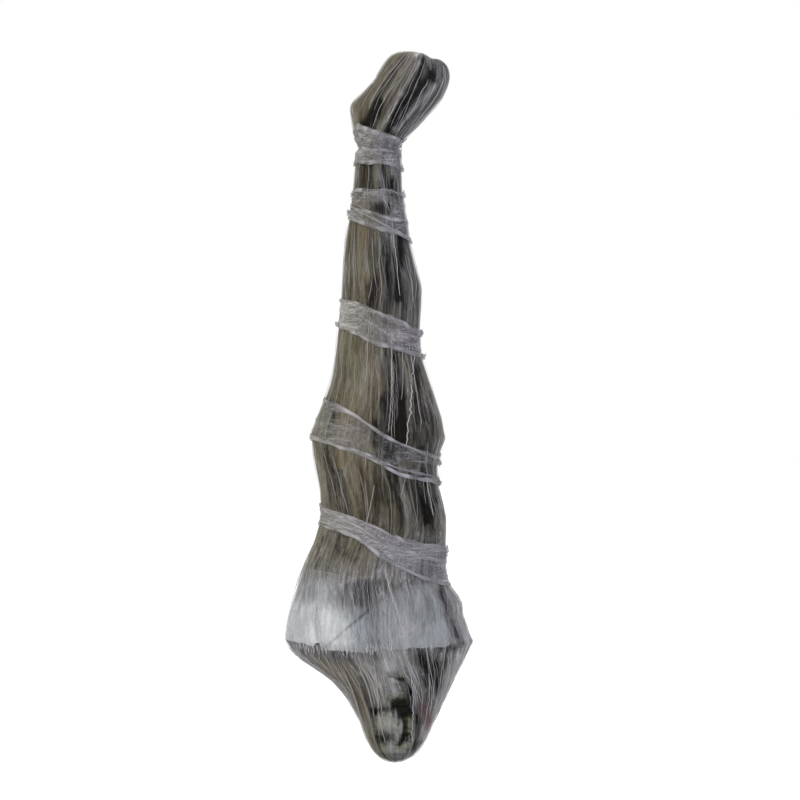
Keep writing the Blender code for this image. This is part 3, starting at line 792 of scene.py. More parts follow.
# Matt cloth with streaks down it. Tone goes from dark to pale and cool from the warm to the cool ramp.
def clothMaterial(name, warm, cool, streakScale, tintShare):
    material, tree, shader = newMaterial(name, 0.95, 0.1)
    grain = attributeOf(tree, "grain")
    streaks = stretchedNoise(tree, grain, streakScale, 0.15, 5, 0.7, 0.7)
    broad = stretchedNoise(tree, grain, streakScale / 4, 0.20, 2, 0.6, 0.8)
    level = weighted(tree, (attributeOf(tree, "tone"), 1, 0), (streaks, 0.95, 0.5), (broad, 0.5, 0.5))
    warmer, cooler = colourRamp(tree, level, warm), colourRamp(tree, level, cool)
    colours = mixColour(tree, attributeOf(tree, "cool"), warmer, cooler)
    patches = stretchedNoise(tree, grain, streakScale / 9, 0.25, 2, 0.5, 0.8)
    tints = colourRamp(tree, patches, [(0.36, (1.0, 0.90, 0.78)), (0.62, (0.90, 1.0, 0.90))])
    colours = mixColour(tree, tintShare, colours, tints, "MULTIPLY")
    tree.links.new(colours, shader.inputs["Base Color"])
    addBump(tree, shader, streaks, 0.5, 0.003)
    return material


sleeveGauze = gauzeMaterial("sleeveGauze", gauzeLooks["sleeve"])
tieGauze = gauzeMaterial("tieGauze", gauzeLooks["tie"])
paleStrand = strandMaterial("paleStrand", (0.26, 0.25, 0.25), (0.66, 0.65, 0.69))
bodyCloth = clothMaterial(
    "bodyCloth",
    [
        (0.0, (0.004, 0.003, 0.002)),
        (0.25, (0.018, 0.014, 0.009)),
        (0.55, (0.078, 0.063, 0.040)),
        (0.9, (0.19, 0.160, 0.112)),
    ],
    [
        (0.0, (0.003, 0.003, 0.003)),
        (0.25, (0.013, 0.013, 0.013)),
        (0.55, (0.052, 0.048, 0.043)),
        (0.9, (0.16, 0.152, 0.148)),
    ],
    170,
    0.9,
)
paleWadding = clothMaterial(
    "paleWadding",
    [
        (0.0, (0.02, 0.02, 0.018)),
        (0.3, (0.12, 0.12, 0.11)),
        (0.55, (0.30, 0.32, 0.33)),
        (0.9, (0.72, 0.74, 0.76)),
    ],
    [
        (0.0, (0.020, 0.018, 0.026)),
        (0.3, (0.075, 0.075, 0.085)),
        (0.55, (0.21, 0.24, 0.27)),
        (0.9, (0.44, 0.49, 0.54)),
    ],
    260,
    0.15,
)


# the stuffed figure

stuffing = {
    "gap": 0.0021,  # between the figure and the gauze over it
    "chestGap": 0.0088,  # the same under the chest cloth
    "chest": (1.05, 1.30, 0.03),  # where that is: from, to and how softly it ends
    "foldDepth": 0.0042,
    "hollowDepth": 0.006,  # how much deeper the dark accents are
    "meet": (0.007, 0.018),  # depths between which the skin turns in towards its neighbour
    "fill": 0.038,  # how much deeper that goes where the figure has no neighbour
    # where that is, as from, to and how softly it ends: the thighs above the hands and the toes, and
    # at the back from the hips to the chest
    "alone": ((0.46, 0.61, 0.03), (-0.40, -0.13, 0.04)),
    "hollowBack": (0.66, 1.06, 0.04),
    "swell": 0.0030,  # how far neighbours press into one another
    "rowStep": 0.0036,
    "endGap": 0.003,  # how far inside its ends a solid is first and last read
    "soften": (2.0, 1.5),  # rows and columns over which a skin is smoothed
    "domeRows": 9,
    "seed": 11,
    # piece, node, slot, columns, how far its ends dome out at the top and bottom, and its painted light
    # and shade: how much paler it is, the near foot lighter and the far and right-hand pieces darker
    "pieces": (
        ("nearLeg", "near_leg", "olive_cloth", 130, (0.004, 0.035), 0.0),
        ("farLeg", "far_leg", "olive_cloth", 130, (0.004, 0.035), -0.03),
        ("nearFoot", "near_foot", "olive_cloth", 120, (0.050, 0.004), 0.07),
        ("farFoot", "far_foot", "olive_cloth", 110, (0.050, 0.004), -0.06),
        ("trunk", "torso", "wadding", 220, (0.020, 0.012), 0.0),
        ("leftArm", "left_arm", "olive_cloth", 90, (0.045, 0.012), 0.0),
        ("rightArm", "right_arm", "olive_cloth", 90, (0.045, 0.012), -0.04),
    ),
}


# How far the figure stays under the gauze.
def figureGap(along):
    return stuffing["gap"] + (stuffing["chestGap"] - stuffing["gap"]) * between(along, *stuffing["chest"])


# How deep a point may lie and still be filled out to the gauze.
def figureReach(angle, along):
    behind = eased(2 * np.sin(angle) - 0.2) * between(along, *stuffing["hollowBack"])
    free = sum(between(along, *span) for span in stuffing["alone"]) + 0.7 * behind
    return stuffing["meet"][1] + stuffing["fill"] * free


# Rings that close an end over with a blunt dome, from the ring outwards.
def domeRings(ring, direction, reach):
    middle = ring.mean(axis=0)
    rings = []
    for turn in np.linspace(0, 1, stuffing["domeRows"] + 1)[1:] * math.pi / 2 * 0.96:
        rise = np.array((0, 0, direction * reach * math.sin(turn) ** 0.8))
        rings.append(middle + (ring - middle) * math.cos(turn) ** 0.6 + rise)
    return rings


# A stuffed piece read from its solid, and filled out to the gauze in gathered folds where it faces it.
def stuffedPiece(name, node, slotName, columns, extend, paintedLight):
    tree = solidTree([node])
    low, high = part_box(node)
    heights = np.arange(high.z - stuffing["endGap"], low.z + stuffing["endGap"], -stuffing["rowStep"])
    middles = sectionMiddles(tree, heights, ((low.x + high.x) / 2, (low.y + high.y) / 2))
    rows = levelRows(heights, middles)
    directions, radii = readSkin(tree, rows, columns)
    radii = smoothed(radii, *stuffing["soften"]) + stuffing["swell"]
    rings = list(rows["origins"][:, None, :] + directions * radii[:, :, None])
    above, below = domeRings(rings[0], 1, extend[0]), domeRings(rings[-1], -1, extend[1])
    points = np.array(above[::-1] + rings + below)
    shape = points.shape[:2]
    angle, along, depth = (field.reshape(shape) for field in envelope.locate(points.reshape(-1, 3)))
    near = stuffing["meet"][0]
    facing = 1 - eased((depth - near) / (figureReach(angle, along) - near))
    dark = accentAt(points, "dark")
    fold = pleats(angle, along, stuffing["seed"])
    # at the figure's two sides and its back it lies closer, for a crisp outline
    edge = np.maximum(np.cos(angle) ** 4, 0.9 * eased(3 * np.sin(angle) - 1))
    inner = 1 - 0.75 * edge
    wanted = figureGap(along) * (1 - 0.3 * edge) + stuffing["foldDepth"] * (1 - fold) * inner
    wanted = wanted + stuffing["hollowDepth"] * dark * inner
    outward = envelope.blend(envelope.directions, angle, along)
    points = points + outward * ((depth - wanted) * facing)[..., None]
    side = np.cos(angle)
    cool = eased(0.5 + 0.7 * side) * (1 - 0.6 * between(along, 0.48, 0.96, 0.08))
    # painted shade: darker at the right, in the fold valleys, on the dark accents and where the skin turns
    # in between parts; paintedLight makes the whole piece lighter or darker
    shade = 0.49 - 0.15 * side + paintedLight + 0.40 * (fold - 0.5) - 0.85 * dark - 0.45 * (1 - facing)
    fields = {"tone": shade, "cool": cool, "grain": grainOf(angle, along)}
    piece = addPiece(name, gridMesh(name, points, fields, poles=True), bodyCloth, [node])


def buildFigure():
    for row in stuffing["pieces"]:
        stuffedPiece(*row)
    print("figure: legs, feet, torso, arms")


# the chest cloth

chestCloth = {
    "columns": 300,
    "rows": 80,
    "lift": -0.0052,  # from the gauze over it
    "depth": 0.0022,  # of its folds
    # its two front edges from the top down, as (place across, how far down)
    "lapEdge": ((0.035, 1.105), (-0.025, 1.160), (-0.090, 1.214), (-0.150, 1.266)),
    "lobeEdge": ((0.020, 1.100), (0.000, 1.140), (-0.020, 1.190), (-0.060, 1.240), (-0.095, 1.268)),
    # how far down the hem is at the sides, and how much more in front and at the left
    "hem": (1.251, 0.009, 0.008),
    # the whitest place and the shadow above the lap: across, height and two radii
    "white": (-0.180, -1.205, 0.070, 0.070),
    "arch": (-0.038, -1.116, 0.054, 0.038),
    "lap": 0.0022,  # how far one edge lies under the other
}


# The pale cloth round the shoulders: it starts at a slanting edge in front and runs round the back.
def buildChestCloth():
    look = chestCloth
    share = np.linspace(0, 1, look["rows"])

    def edge(places):
        across, down = np.array(places).T
        spots = np.linspace(0, 1, len(places))
        along = smoothed(np.interp(share, spots, down)[:, None], 4, 0)[:, 0]
        across = smoothed(np.interp(share, spots, across)[:, None], 4, 0)[:, 0]
        return envelope.frontAngle(across, along)[:, None], along[:, None]

    startAngle, startAlong = edge(look["lapEdge"])
    endAngle, endAlong = edge(look["lobeEdge"])
    turn = np.linspace(0, 1, look["columns"])[None, :]
    angle = startAngle + (endAngle + tau - startAngle) * turn
    # the top edge rises behind the chest tie, and the hem dips a little at the left
    top = startAlong[0] * (1 - turn) + endAlong[0] * turn - 0.055 * np.sin(math.pi * turn) ** 0.7
    ripple = 0.0020 * np.sin(9 * angle) + 0.0014 * np.sin(23 * angle + 1)
    sides, ahead, atLeft = look["hem"]
    leftFront = np.clip(-np.sin(angle + 0.55), 0, 1) ** 6
    hem = sides + ahead * np.clip(-np.sin(angle), 0, 1) + atLeft * leftFront + ripple
    straight = top + (hem - top) * share[:, None]
    # near the two front edges the rows follow the edges' own heights
    nearStart = np.exp(-((turn / 0.06) ** 2))
    nearEnd = np.exp(-(((1 - turn) / 0.06) ** 2))
    along = straight * (1 - nearStart - nearEnd) + startAlong * nearStart + endAlong * nearEnd
    fold = pleats(angle, along, 61, (24, 47, 83), 0.14)
    puff = between(along, 1.17, 1.25, 0.03)
    dark = accentAt(envelope.at(angle, along), "chestDark")
    lift = look["lift"] + look["depth"] * (fold - 0.6) + 0.0012 * puff - 0.003 * dark
    atHem = np.exp(-(((hem - along) / 0.006) ** 2))
    lift = lift - 0.0015 * atHem - look["lap"] * nearEnd + 0.0006 * nearStart
    points = envelope.at(angle, along, lift)
    white = eased((-np.cos(angle) - 0.26) / 0.42)
    fade = eased((along - top) / 0.045)
    # the fold term is painted shade in the fold valleys
    tone = 0.30 + 0.26 * fade + 0.25 * white * eased((along - 1.13) / 0.06) + 0.22 * (fold - 0.5)
    tone = tone + 0.10 * between(along, 1.20, 1.262, 0.03)

    def blot(across, height, wide, tall):
        away = np.hypot((points[..., 0] - across) / wide, (points[..., 2] - height) / tall)
        return np.exp(-(away**3)) * (points[..., 1] < 0.03)

    tone = tone + 0.32 * blot(*look["white"]) - 0.62 * blot(*look["arch"])
    # painted shadow along the lap's edge, and painted shade in the crease beside the right shoulder
    tone = tone - 0.30 * np.exp(-((turn / 0.010) ** 2)) - 0.75 * dark
    fields = {"tone": tone, "cool": 1 - white, "grain": grainOf(angle, along)}
    mesh = gridMesh("chestCloth", points, fields, loop=False)
    piece = addPiece("chestCloth", mesh, paleWadding)
    print("chest cloth area", round(meshArea(mesh), 3))


# head and hood

headLook = {
    "columns": 230,
    "rowStep": 0.0017,
    "plateSize": 0.017,
    "crackDepth": 0.0018,
    "pitDepth": 0.010,
    "crownGap": 0.0120,  # between the crown and the gauze
    "crownRows": 26,
    "crownStart": 0.030,  # how far above the crown the rows start to fan round it
    "rayReach": 0.2,
    "crackedSize": (0.36, 0.36),  # girth and length over which the plates are laid out
}


# How near each place is to a crack between plates, 1 in the crack and 0 well off it.
def cellCracks(angle, along, size, seed):
    rng = np.random.default_rng(seed)
    across, down = (int(span / size) for span in headLook["crackedSize"])
    u, v = (angle % tau) / tau * across, along / size
    v = v - v.min()
    jitter = rng.uniform(0.15, 0.85, (down + 3, across, 2))
    nearest = np.full(u.shape, 9.0)
    second = np.full(u.shape, 9.0)
    for du in (-1, 0, 1):
        for dv in (-1, 0, 1):
            cu = np.floor(u).astype(int) + du
            cv = np.clip(np.floor(v).astype(int) + dv, -1, down + 1)
            spot = jitter[cv % (down + 3), cu % across]
            distance = np.hypot(cu + spot[..., 0] - u, cv + spot[..., 1] - v)
            second = np.minimum(second, np.maximum(nearest, distance))
            nearest = np.minimum(nearest, distance)
    return np.exp(-(((second - nearest) / 0.13) ** 2))


def boneMaterial():
    material, tree, shader = newMaterial("bone", 0.62)
    place = addNode(tree, "ShaderNodeTexCoord").outputs["Object"]
    spots = addNode(tree, "ShaderNodeTexNoise", {"Vector": place, "Scale": 34, "Detail": 6}).outputs["Fac"]
    fine = addNode(tree, "ShaderNodeTexNoise", {"Vector": place, "Scale": 190, "Detail": 4}).outputs["Fac"]
    level = weighted(tree, (attributeOf(tree, "tone"), 1, 0), (spots, 0.6, 0.5), (fine, 0.3, 0.5))
    stops = [
        (0.0, (0.004, 0.004, 0.002)),
        (0.3, (0.045, 0.048, 0.026)),
        (0.6, (0.22, 0.23, 0.17)),
        (0.9, (0.46, 0.48, 0.44)),
    ]
    tree.links.new(colourRamp(tree, level, stops), shader.inputs["Base Color"])
    addBump(tree, shader, fine, 0.4, 0.002)
    return material


# The moulded head, read finely from its solid, with cracked plates and hollows that darken with depth.
def buildHead():
    look = headLook
    tree = solidTree(["head"])
    low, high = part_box("head")
    heights = np.arange(high.z - 0.001, low.z + look["crownStart"], -look["rowStep"])
    middle = np.array(((low.x + high.x) / 2, 0))
    rows = levelRows(heights, np.tile(middle, (len(heights), 1)))
    rows = capRows(rows, -1, look["crownRows"])
    directions, radii = readSkin(tree, rows, look["columns"], look["rayReach"])
    radii = smoothed(radii, 1.2, 1.2)
    level = smoothed(radii, 14, 12)
    hollow = np.clip((level - radii) / 0.010, 0, 1)
    angle = (tau * np.arange(look["columns"]) / look["columns"])[None, :]
    along = (rows["path"] + rows["tilt"] * 0.05)[:, None]
    bentAngle, bentAlong = angle + 0.25 * np.sin(40 * along), along + 0.004 * np.sin(9 * angle)
    crack = cellCracks(bentAngle, bentAlong, look["plateSize"], 8) * (1 - hollow)
    lumps = longNoise(angle, along, 77, 40, 0.02) - 0.5
    radii = radii - look["crackDepth"] * crack + 0.0012 * lumps
    pit = accentAt(rows["origins"][:, None, :] + directions * radii[:, :, None], "hollows")
    radii = radii - look["pitDepth"] * pit * (1 - hollow)
    points = rows["origins"][:, None, :] + directions * radii[:, :, None]
    # the crown fills out to the gauze
    where = envelope.locate(points.reshape(-1, 3)).reshape(3, *points.shape[:2])
    outward = envelope.blend(envelope.directions, where[0], where[1])
    crown = eased((rows["tilt"][:, None] - 0.5) / 0.5) * (1 - eased((where[2] - 0.02) / 0.02))
    points = points + outward * ((where[2] - look["crownGap"]) * crown)[..., None]
    neck = 1 - eased((along - 1.36) / 0.03)
    tone = 0.54 + 0.28 * neck - 0.95 * np.maximum(hollow**0.7, pit) - (0.16 + 0.24 * neck) * crack
    # paler on the cheek, partly a painted highlight, and below the eyes
    tone = tone + accentAt(points, "bright") * (1 - pit)
    mesh = gridMesh("skull", points, {"tone": tone}, poles=True)
    addPiece("skull", mesh, boneMaterial(), ["head"])
    print("head")


hoodLook = {
    "opening": math.radians(38),  # half of the opening round the face
    "face": math.radians(-93),
    "top": 1.245,
    "bottom": 1.612,
    "lift": -0.0045,  # from the gauze over it
    "foldDepth": 0.006,
    "columns": 240,
    "rows": 110,
}


# The olive cloth round the head, open in front of the face.
def buildHood():
    look = hoodLook
    start, end = look["face"] + look["opening"], look["face"] + tau - look["opening"]
    angle = np.linspace(start, end, look["columns"])[None, :]
    along = np.linspace(look["top"], look["bottom"], look["rows"])[:, None]
    fold = pleats(angle, along, 71, (26, 47, 83), 0.30)
    # at the sides and the crown it lies closer to the gauze
    edge = np.maximum(np.cos(angle) ** 4, eased((along - 1.49) / 0.05))
    lift = look["lift"] * (1 - 0.40 * edge) - look["foldDepth"] * (1 - fold) * (1 - 0.85 * edge)
    points = envelope.at(angle, along, lift)
    hemShadow = np.exp(-((np.clip(along - 1.262, 0, 1) / 0.022) ** 2))
    side = np.cos(angle)
    # painted shade: darker at the right, in the fold valleys, in a painted shadow under the chest cloth's
    # hem and on the dark accents beside the neck and face
    tone = 0.46 - 0.14 * side + 0.35 * (fold - 0.5) - 0.30 * hemShadow - 0.8 * accentAt(points, "dark")
    cool = eased(0.55 + 0.45 * side) + 0 * along
    fields = {"tone": tone, "cool": cool, "grain": grainOf(angle, along)}
    mesh = gridMesh("hood", points, fields, loop=False)
    piece = addPiece("hood", mesh, bodyCloth, ["hood_cloth"])
    print("hood area", round(meshArea(mesh), 3))


# the gauze skins

sleeve = {
    "columns": 340,
    # how thick the web lies: how far down, at the left, in front, at the right and at the back
    "veil": (
        (-0.26, 0.16, 0.16, 0.22, 0.20),
        (-0.08, 0.18, 0.14, 0.18, 0.20),
        (0.05, 0.10, 0.12, 0.24, 0.20),
        (0.14, 0.08, 0.10, 0.22, 0.18),
        (0.30, 0.08, 0.10, 0.20, 0.18),
        (0.45, 0.14, 0.13, 0.20, 0.20),
        (0.60, 0.14, 0.12, 0.16, 0.20),
        (0.80, 0.12, 0.02, 0.07, 0.18),
        (0.90, 0.12, 0.02, 0.08, 0.18),
        (0.98, 0.18, 0.16, 0.20, 0.20),
        (1.06, 0.36, 0.34, 0.26, 0.30),
        (1.15, 0.20, 0.28, 0.20, 0.30),
        (1.25, 0.16, 0.22, 0.14, 0.30),
        (1.30, 0.26, 0.50, 0.10, 0.36),
        (1.40, 0.14, 0.36, 0.12, 0.36),
        (1.52, 0.14, 0.32, 0.14, 0.36),
        (1.62, 0.22, 0.24, 0.20, 0.36),
    ),
    "foldDepth": 0.0020,
    "rowStep": 0.0062,
    "flat": (0.95, 1.62),  # a guessed cut: loose round the legs and stretched over the shoulders
    "seamAngle": math.radians(90),
    "seamOverlap": math.radians(7),
    "seamLift": 0.0012,  # how far one edge lies over the other
    "seed": 21,
}

feetWrap = {
    "foldDepth": 0.0030,
    "rowStep": 0.0050,
    "flat": (0.42, 0.26),  # a guessed cut: about the girth at the ankles, stretched over the feet
    "seed": 22,
}


# How cool a colour is, from olive brown at the left to lilac grey at the right.
def coolAt(angle, along):
    olive = eased((along - 1.27) / 0.03) * eased(-np.cos(angle) * 2)
    low = eased((along - 1.02) / 0.10) * (1 - 0.75 * olive)
    high = eased(0.50 + 0.6 * np.cos(angle)) * (1 - 0.45 * between(along, 0.48, 0.96, 0.08))
    return np.clip(high * (1 - low) + 0.85 * low, 0, 1)


# How much of what lies beneath the web hides: by its place, on its pleats and lines, and by the accents.
def webCover(angle, along, points, fold):
    low = eased((along - 1.0) / 0.12)
    broad = longNoise(angle, along, 51, 17, 0.12) - 0.5
    cover = tableAt(sleeve["veil"], angle, along)
    cover = cover + (0.10 - 0.02 * low) * (fold - 0.45) + 0.14 * broad
    lines = fineLines(angle, along, 81, ((27, 0.8), (47, 0.7), (83, 0.5)), 0.17)
    more = fineLines(angle, along, 91, ((89, 0.9), (131, 0.8)), 0.09, 4)
    side = np.cos(angle)
    holes = accentAt(points, "holes")
    cover = cover + ((0.34 + 0.08 * side - 0.14 * low) * lines + 0.24 * low * more) * (1 - 0.8 * holes)
    # painted sheen: the web drawn denser and paler at both sides of the outline, most at the right
    cover = cover + 0.24 * np.abs(side) ** 14 + 0.34 * np.clip(side, 0, 1) ** 24
    # the web thins over the dark accents so their painted shade shows through
    return cover + accentAt(points, "pale") - 0.40 * accentAt(points, "dark") - 0.7 * holes


# A sheet of gauze wrapped round the figure, its two edges lapped at the back.
def gauzeSheet(name, look, along, replaced):
    start = sleeve["seamAngle"]
    angle = np.linspace(start, start + tau + sleeve["seamOverlap"], sleeve["columns"])[None, :]
    along = along[:, None]
    under = pleats(angle, along, stuffing["seed"])
    own = pleats(angle, along, look["seed"], (31, 57, 97), 0.26)
    fold = 0.45 * under + 0.55 * own
    lap = sleeve["seamLift"] * (angle - start) / tau
    points = envelope.at(angle, along, look["foldDepth"] * (fold - 0.6) - 0.0008 + lap)
    cover = webCover(angle, along, points, own)
    fields = {"grain": grainOf(angle, along), "cover": cover, "cool": coolAt(angle, along)}
    fields["stain"] = accentAt(points, "stain")
    mesh = gridMesh(name, points, fields, loop=False)
    piece = addPiece(name, mesh, sleeveGauze, replaced)
    print(name, "area", round(meshArea(mesh), 3), "faces", len(mesh.polygons))


def buildGauze():
    down = envelope.along
    below = np.arange(0.001, down[-1], sleeve["rowStep"])
    above = np.arange(down[0], -0.001, feetWrap["rowStep"])
    gauzeSheet("sleeve", sleeve, below, ["shroud_gauze"])
    gauzeSheet("feetWrap", feetWrap, above, ["feet_gauze"])
    print("gauze: sleeve and feet wrap")


# ties

tieLook = {
    "lift": 0.0014,  # from the gauze under them
    "creaseLift": 0.0012,
    "knotLift": 0.002,
    "rows": 40,
    "columns": 340,
    "sectors": 24,  # in which a tie's edges are found round its solid
    "rollRadius": 0.0054,
    "rollSides": 12,
    "rollColumns": 420,
    "creases": 11,
    # how thick each web is
    "covers": {"ankleTie": 0.27, "shinTie": 0.17, "kneeTie": 0.32, "hipTie": 0.02, "chestTie": 0.30},
    "knotAngle": math.radians(-6),
    "knotWidth": 0.10,  # of the knot in a rolled edge
    "bunchWidth": 0.30,  # of the bunched web beside it
}

tiesMade = []  # the two edges of each tie built so far


# The heights of a tie's top and bottom edge round the figure, each as its middle and its slant.
def tieEdges(node):
    count = tieLook["sectors"]
    points = np.array([vertex.co[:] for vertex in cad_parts[node].data.vertices])
    sector = np.round(envelope.locate(points)[0] / tau * count).astype(int) % count
    used = [k for k in range(count) if (sector == k).any()]
    cosines = np.cos(tau * np.array(used) / count)
    edges = []
    for pick in (np.max, np.min):
        slant, middle = np.polyfit(cosines, [pick(points[sector == k, 2]) for k in used], 1)
        edges.append((middle, slant))
    return edges


def edgeHeight(edge, angle):
    return edge[0] + edge[1] * np.cos(angle)


def edgeDown(edge, angle):
    return downAt(angle, edgeHeight(edge, angle))


def knotAt(angle, width):
    return np.exp(-((turnFrom(angle, tieLook["knotAngle"]) / width) ** 2))


# How far down the figure each angle reaches a height, also where the rows lean.
def downAt(angle, height):
    along = -height + 0 * angle
    for _ in range(4):
        along = along + envelope.at(angle, along)[..., 2] - height
    return along


# A strip of gauze tied round the sleeve: creased, with rolled edges and a knot at the right.
def buildTie(name, node, rolls, seed, hole=None, edges=None):
    look = tieLook
    top, bottom = edges or tieEdges(node)
    tiesMade.append((top, bottom))
    angle = np.linspace(0, tau, look["columns"] + 1)[None, :-1]
    share = np.linspace(0, 1, look["rows"])[:, None]
    upper, lower = edgeDown(top, angle), edgeDown(bottom, angle)
    along = upper + (lower - upper) * share
    rng = np.random.default_rng(seed)
    crease = 0
    for _ in range(look["creases"]):
        place, phase, turns = rng.uniform(0.05, 0.95), rng.uniform(0, tau), rng.integers(2, 6)
        line = share - place - 0.18 * np.sin(angle * rng.integers(1, 3) + phase)
        crease = crease + np.exp(-((line / 0.030) ** 2)) * eased(0.4 + 0.6 * np.sin(angle * turns + phase))
    crease = np.minimum(crease, 1.0)
    knot = knotAt(angle, look["bunchWidth"])
    lift = look["lift"] + look["creaseLift"] * crease + look["knotLift"] * knot
    points = envelope.at(angle, along, lift)
    spots = longNoise(angle, along + 0.01 * np.sin(3 * angle), seed + 5, 15, 0.014) - 0.5
    patches = longNoise(angle, along + 0.02 * np.sin(2 * angle), seed + 6, 8, 0.030) - 0.5
    cover = look["covers"][name] + 0.20 * crease + 0.24 * spots + 0.42 * patches
    cover = cover - 0.10 * np.cos(angle) + 0.3 * knot + 0.30 * (1 - 4 * share * (1 - share)) ** 3
    if hole:
        across, height, size = hole
        away = np.hypot(points[..., 0] - across, 1.4 * (points[..., 2] - height)) / size
        cover = cover - 1.2 * np.exp(-(away**4)) * (points[..., 1] < 0)
    fields = {"grain": turnedGrain(along, angle), "cover": cover, "cool": tieCool(angle, along)}
    piece = addPiece(name, gridMesh(name, points, fields), tieGauze, [node])
    for k, place in enumerate(rolls):
        edge = tuple(a + (b - a) * place for a, b in zip(top, bottom))
        mesh = rollMesh(edge, seed + 10 * k, 0.75 if 0 < place < 1 else 1.0)
        addPiece(f"{name}Roll{k + 1}", mesh, tieGauze)


# Coordinates for fibres that run along a tie instead of down the figure.
def turnedGrain(across, angle):
    return np.stack(np.broadcast_arrays(across, 0.03 * np.sin(angle * 2), 0.11 * angle), axis=-1)


# How cool a tie's colour is: most at the right, and least round the calves.
def tieCool(angle, along):
    away = along - 0.3
    return eased(0.45 + 0.6 * np.cos(angle) + np.where(away > 0, 0.5 * away, -0.9 * away))


# A rolled edge: a soft twisted tube that thickens and thins as it goes round.
def rollMesh(edge, seed, size):
    rng = np.random.default_rng(seed)
    columns, sides = tieLook["rollColumns"], tieLook["rollSides"]
    angle = (tau * np.arange(columns) / columns)[:, None]
    side = (tau * np.arange(sides) / sides)[None, :]

    def wave(count):
        return np.sin(angle * count + rng.uniform(0, tau))

    swell = 1 + 0.30 * wave(2) + 0.22 * wave(7)
    swell = swell + 0.12 * wave(19) + 0.6 * knotAt(angle, tieLook["knotWidth"])
    radius = size * tieLook["rollRadius"] * swell * (0.84 + 0.16 * np.cos(3 * side + 16 * angle))
    radius = radius * (0.86 + 0.14 * np.cos(angle))
    drift = 0.004 * wave(2) + 0.002 * wave(5)
    along = edgeDown(edge, angle) + drift + 1.15 * radius * np.sin(side)
    lift = tieLook["lift"] + 0.0004 + 0.38 * radius * (1 + np.cos(side))
    points = envelope.at(angle, along, lift)
    cover = 0.46 + 0.8 * (longNoise(angle, 0 * angle, seed, 40, 0.1) - 0.5) + 0 * radius
    across = 0.02 * np.cos(side), 0.02 * np.sin(side)
    grain = np.stack(np.broadcast_arrays(*across, 0.11 * angle), axis=-1)
    fields = {"grain": grain, "cover": cover, "cool": tieCool(angle, along)}
    # the grid is looped round the tube, so its rows are closed on themselves here
    closed = {label: np.concatenate([values, values[:1]])[:, ::-1] for label, values in fields.items()}
    joined = bmesh.new()
    joined.from_mesh(gridMesh("roll", np.concatenate([points, points[:1]])[:, ::-1], closed))
    bmesh.ops.remove_doubles(joined, verts=joined.verts, dist=1e-6)
    bmesh.ops.recalc_face_normals(joined, faces=joined.faces)
    mesh = bpy.data.meshes.new("roll")
    joined.to_mesh(mesh)
    joined.free()
    mesh.shade_smooth()
    return mesh


def buildTies():
    buildTie("ankleTie", "ankle_band", (0, 0.5, 1), 31, edges=((0.027, -0.0128), (-0.047, -0.007)))
    buildTie("shinTie", "shin_band", (0, 0.62, 1), 32, hole=(0.010, -0.163, 0.024))
    buildTie("kneeTie", "knee_band", (0, 1), 33)
    buildTie("hipTie", "hip_band", (0, 0.9, 1), 34)
    buildTie("chestTie", "chest_band", (0, 0.35, 1), 35)
    print("ties: five, with rolled edges")


# loose strands

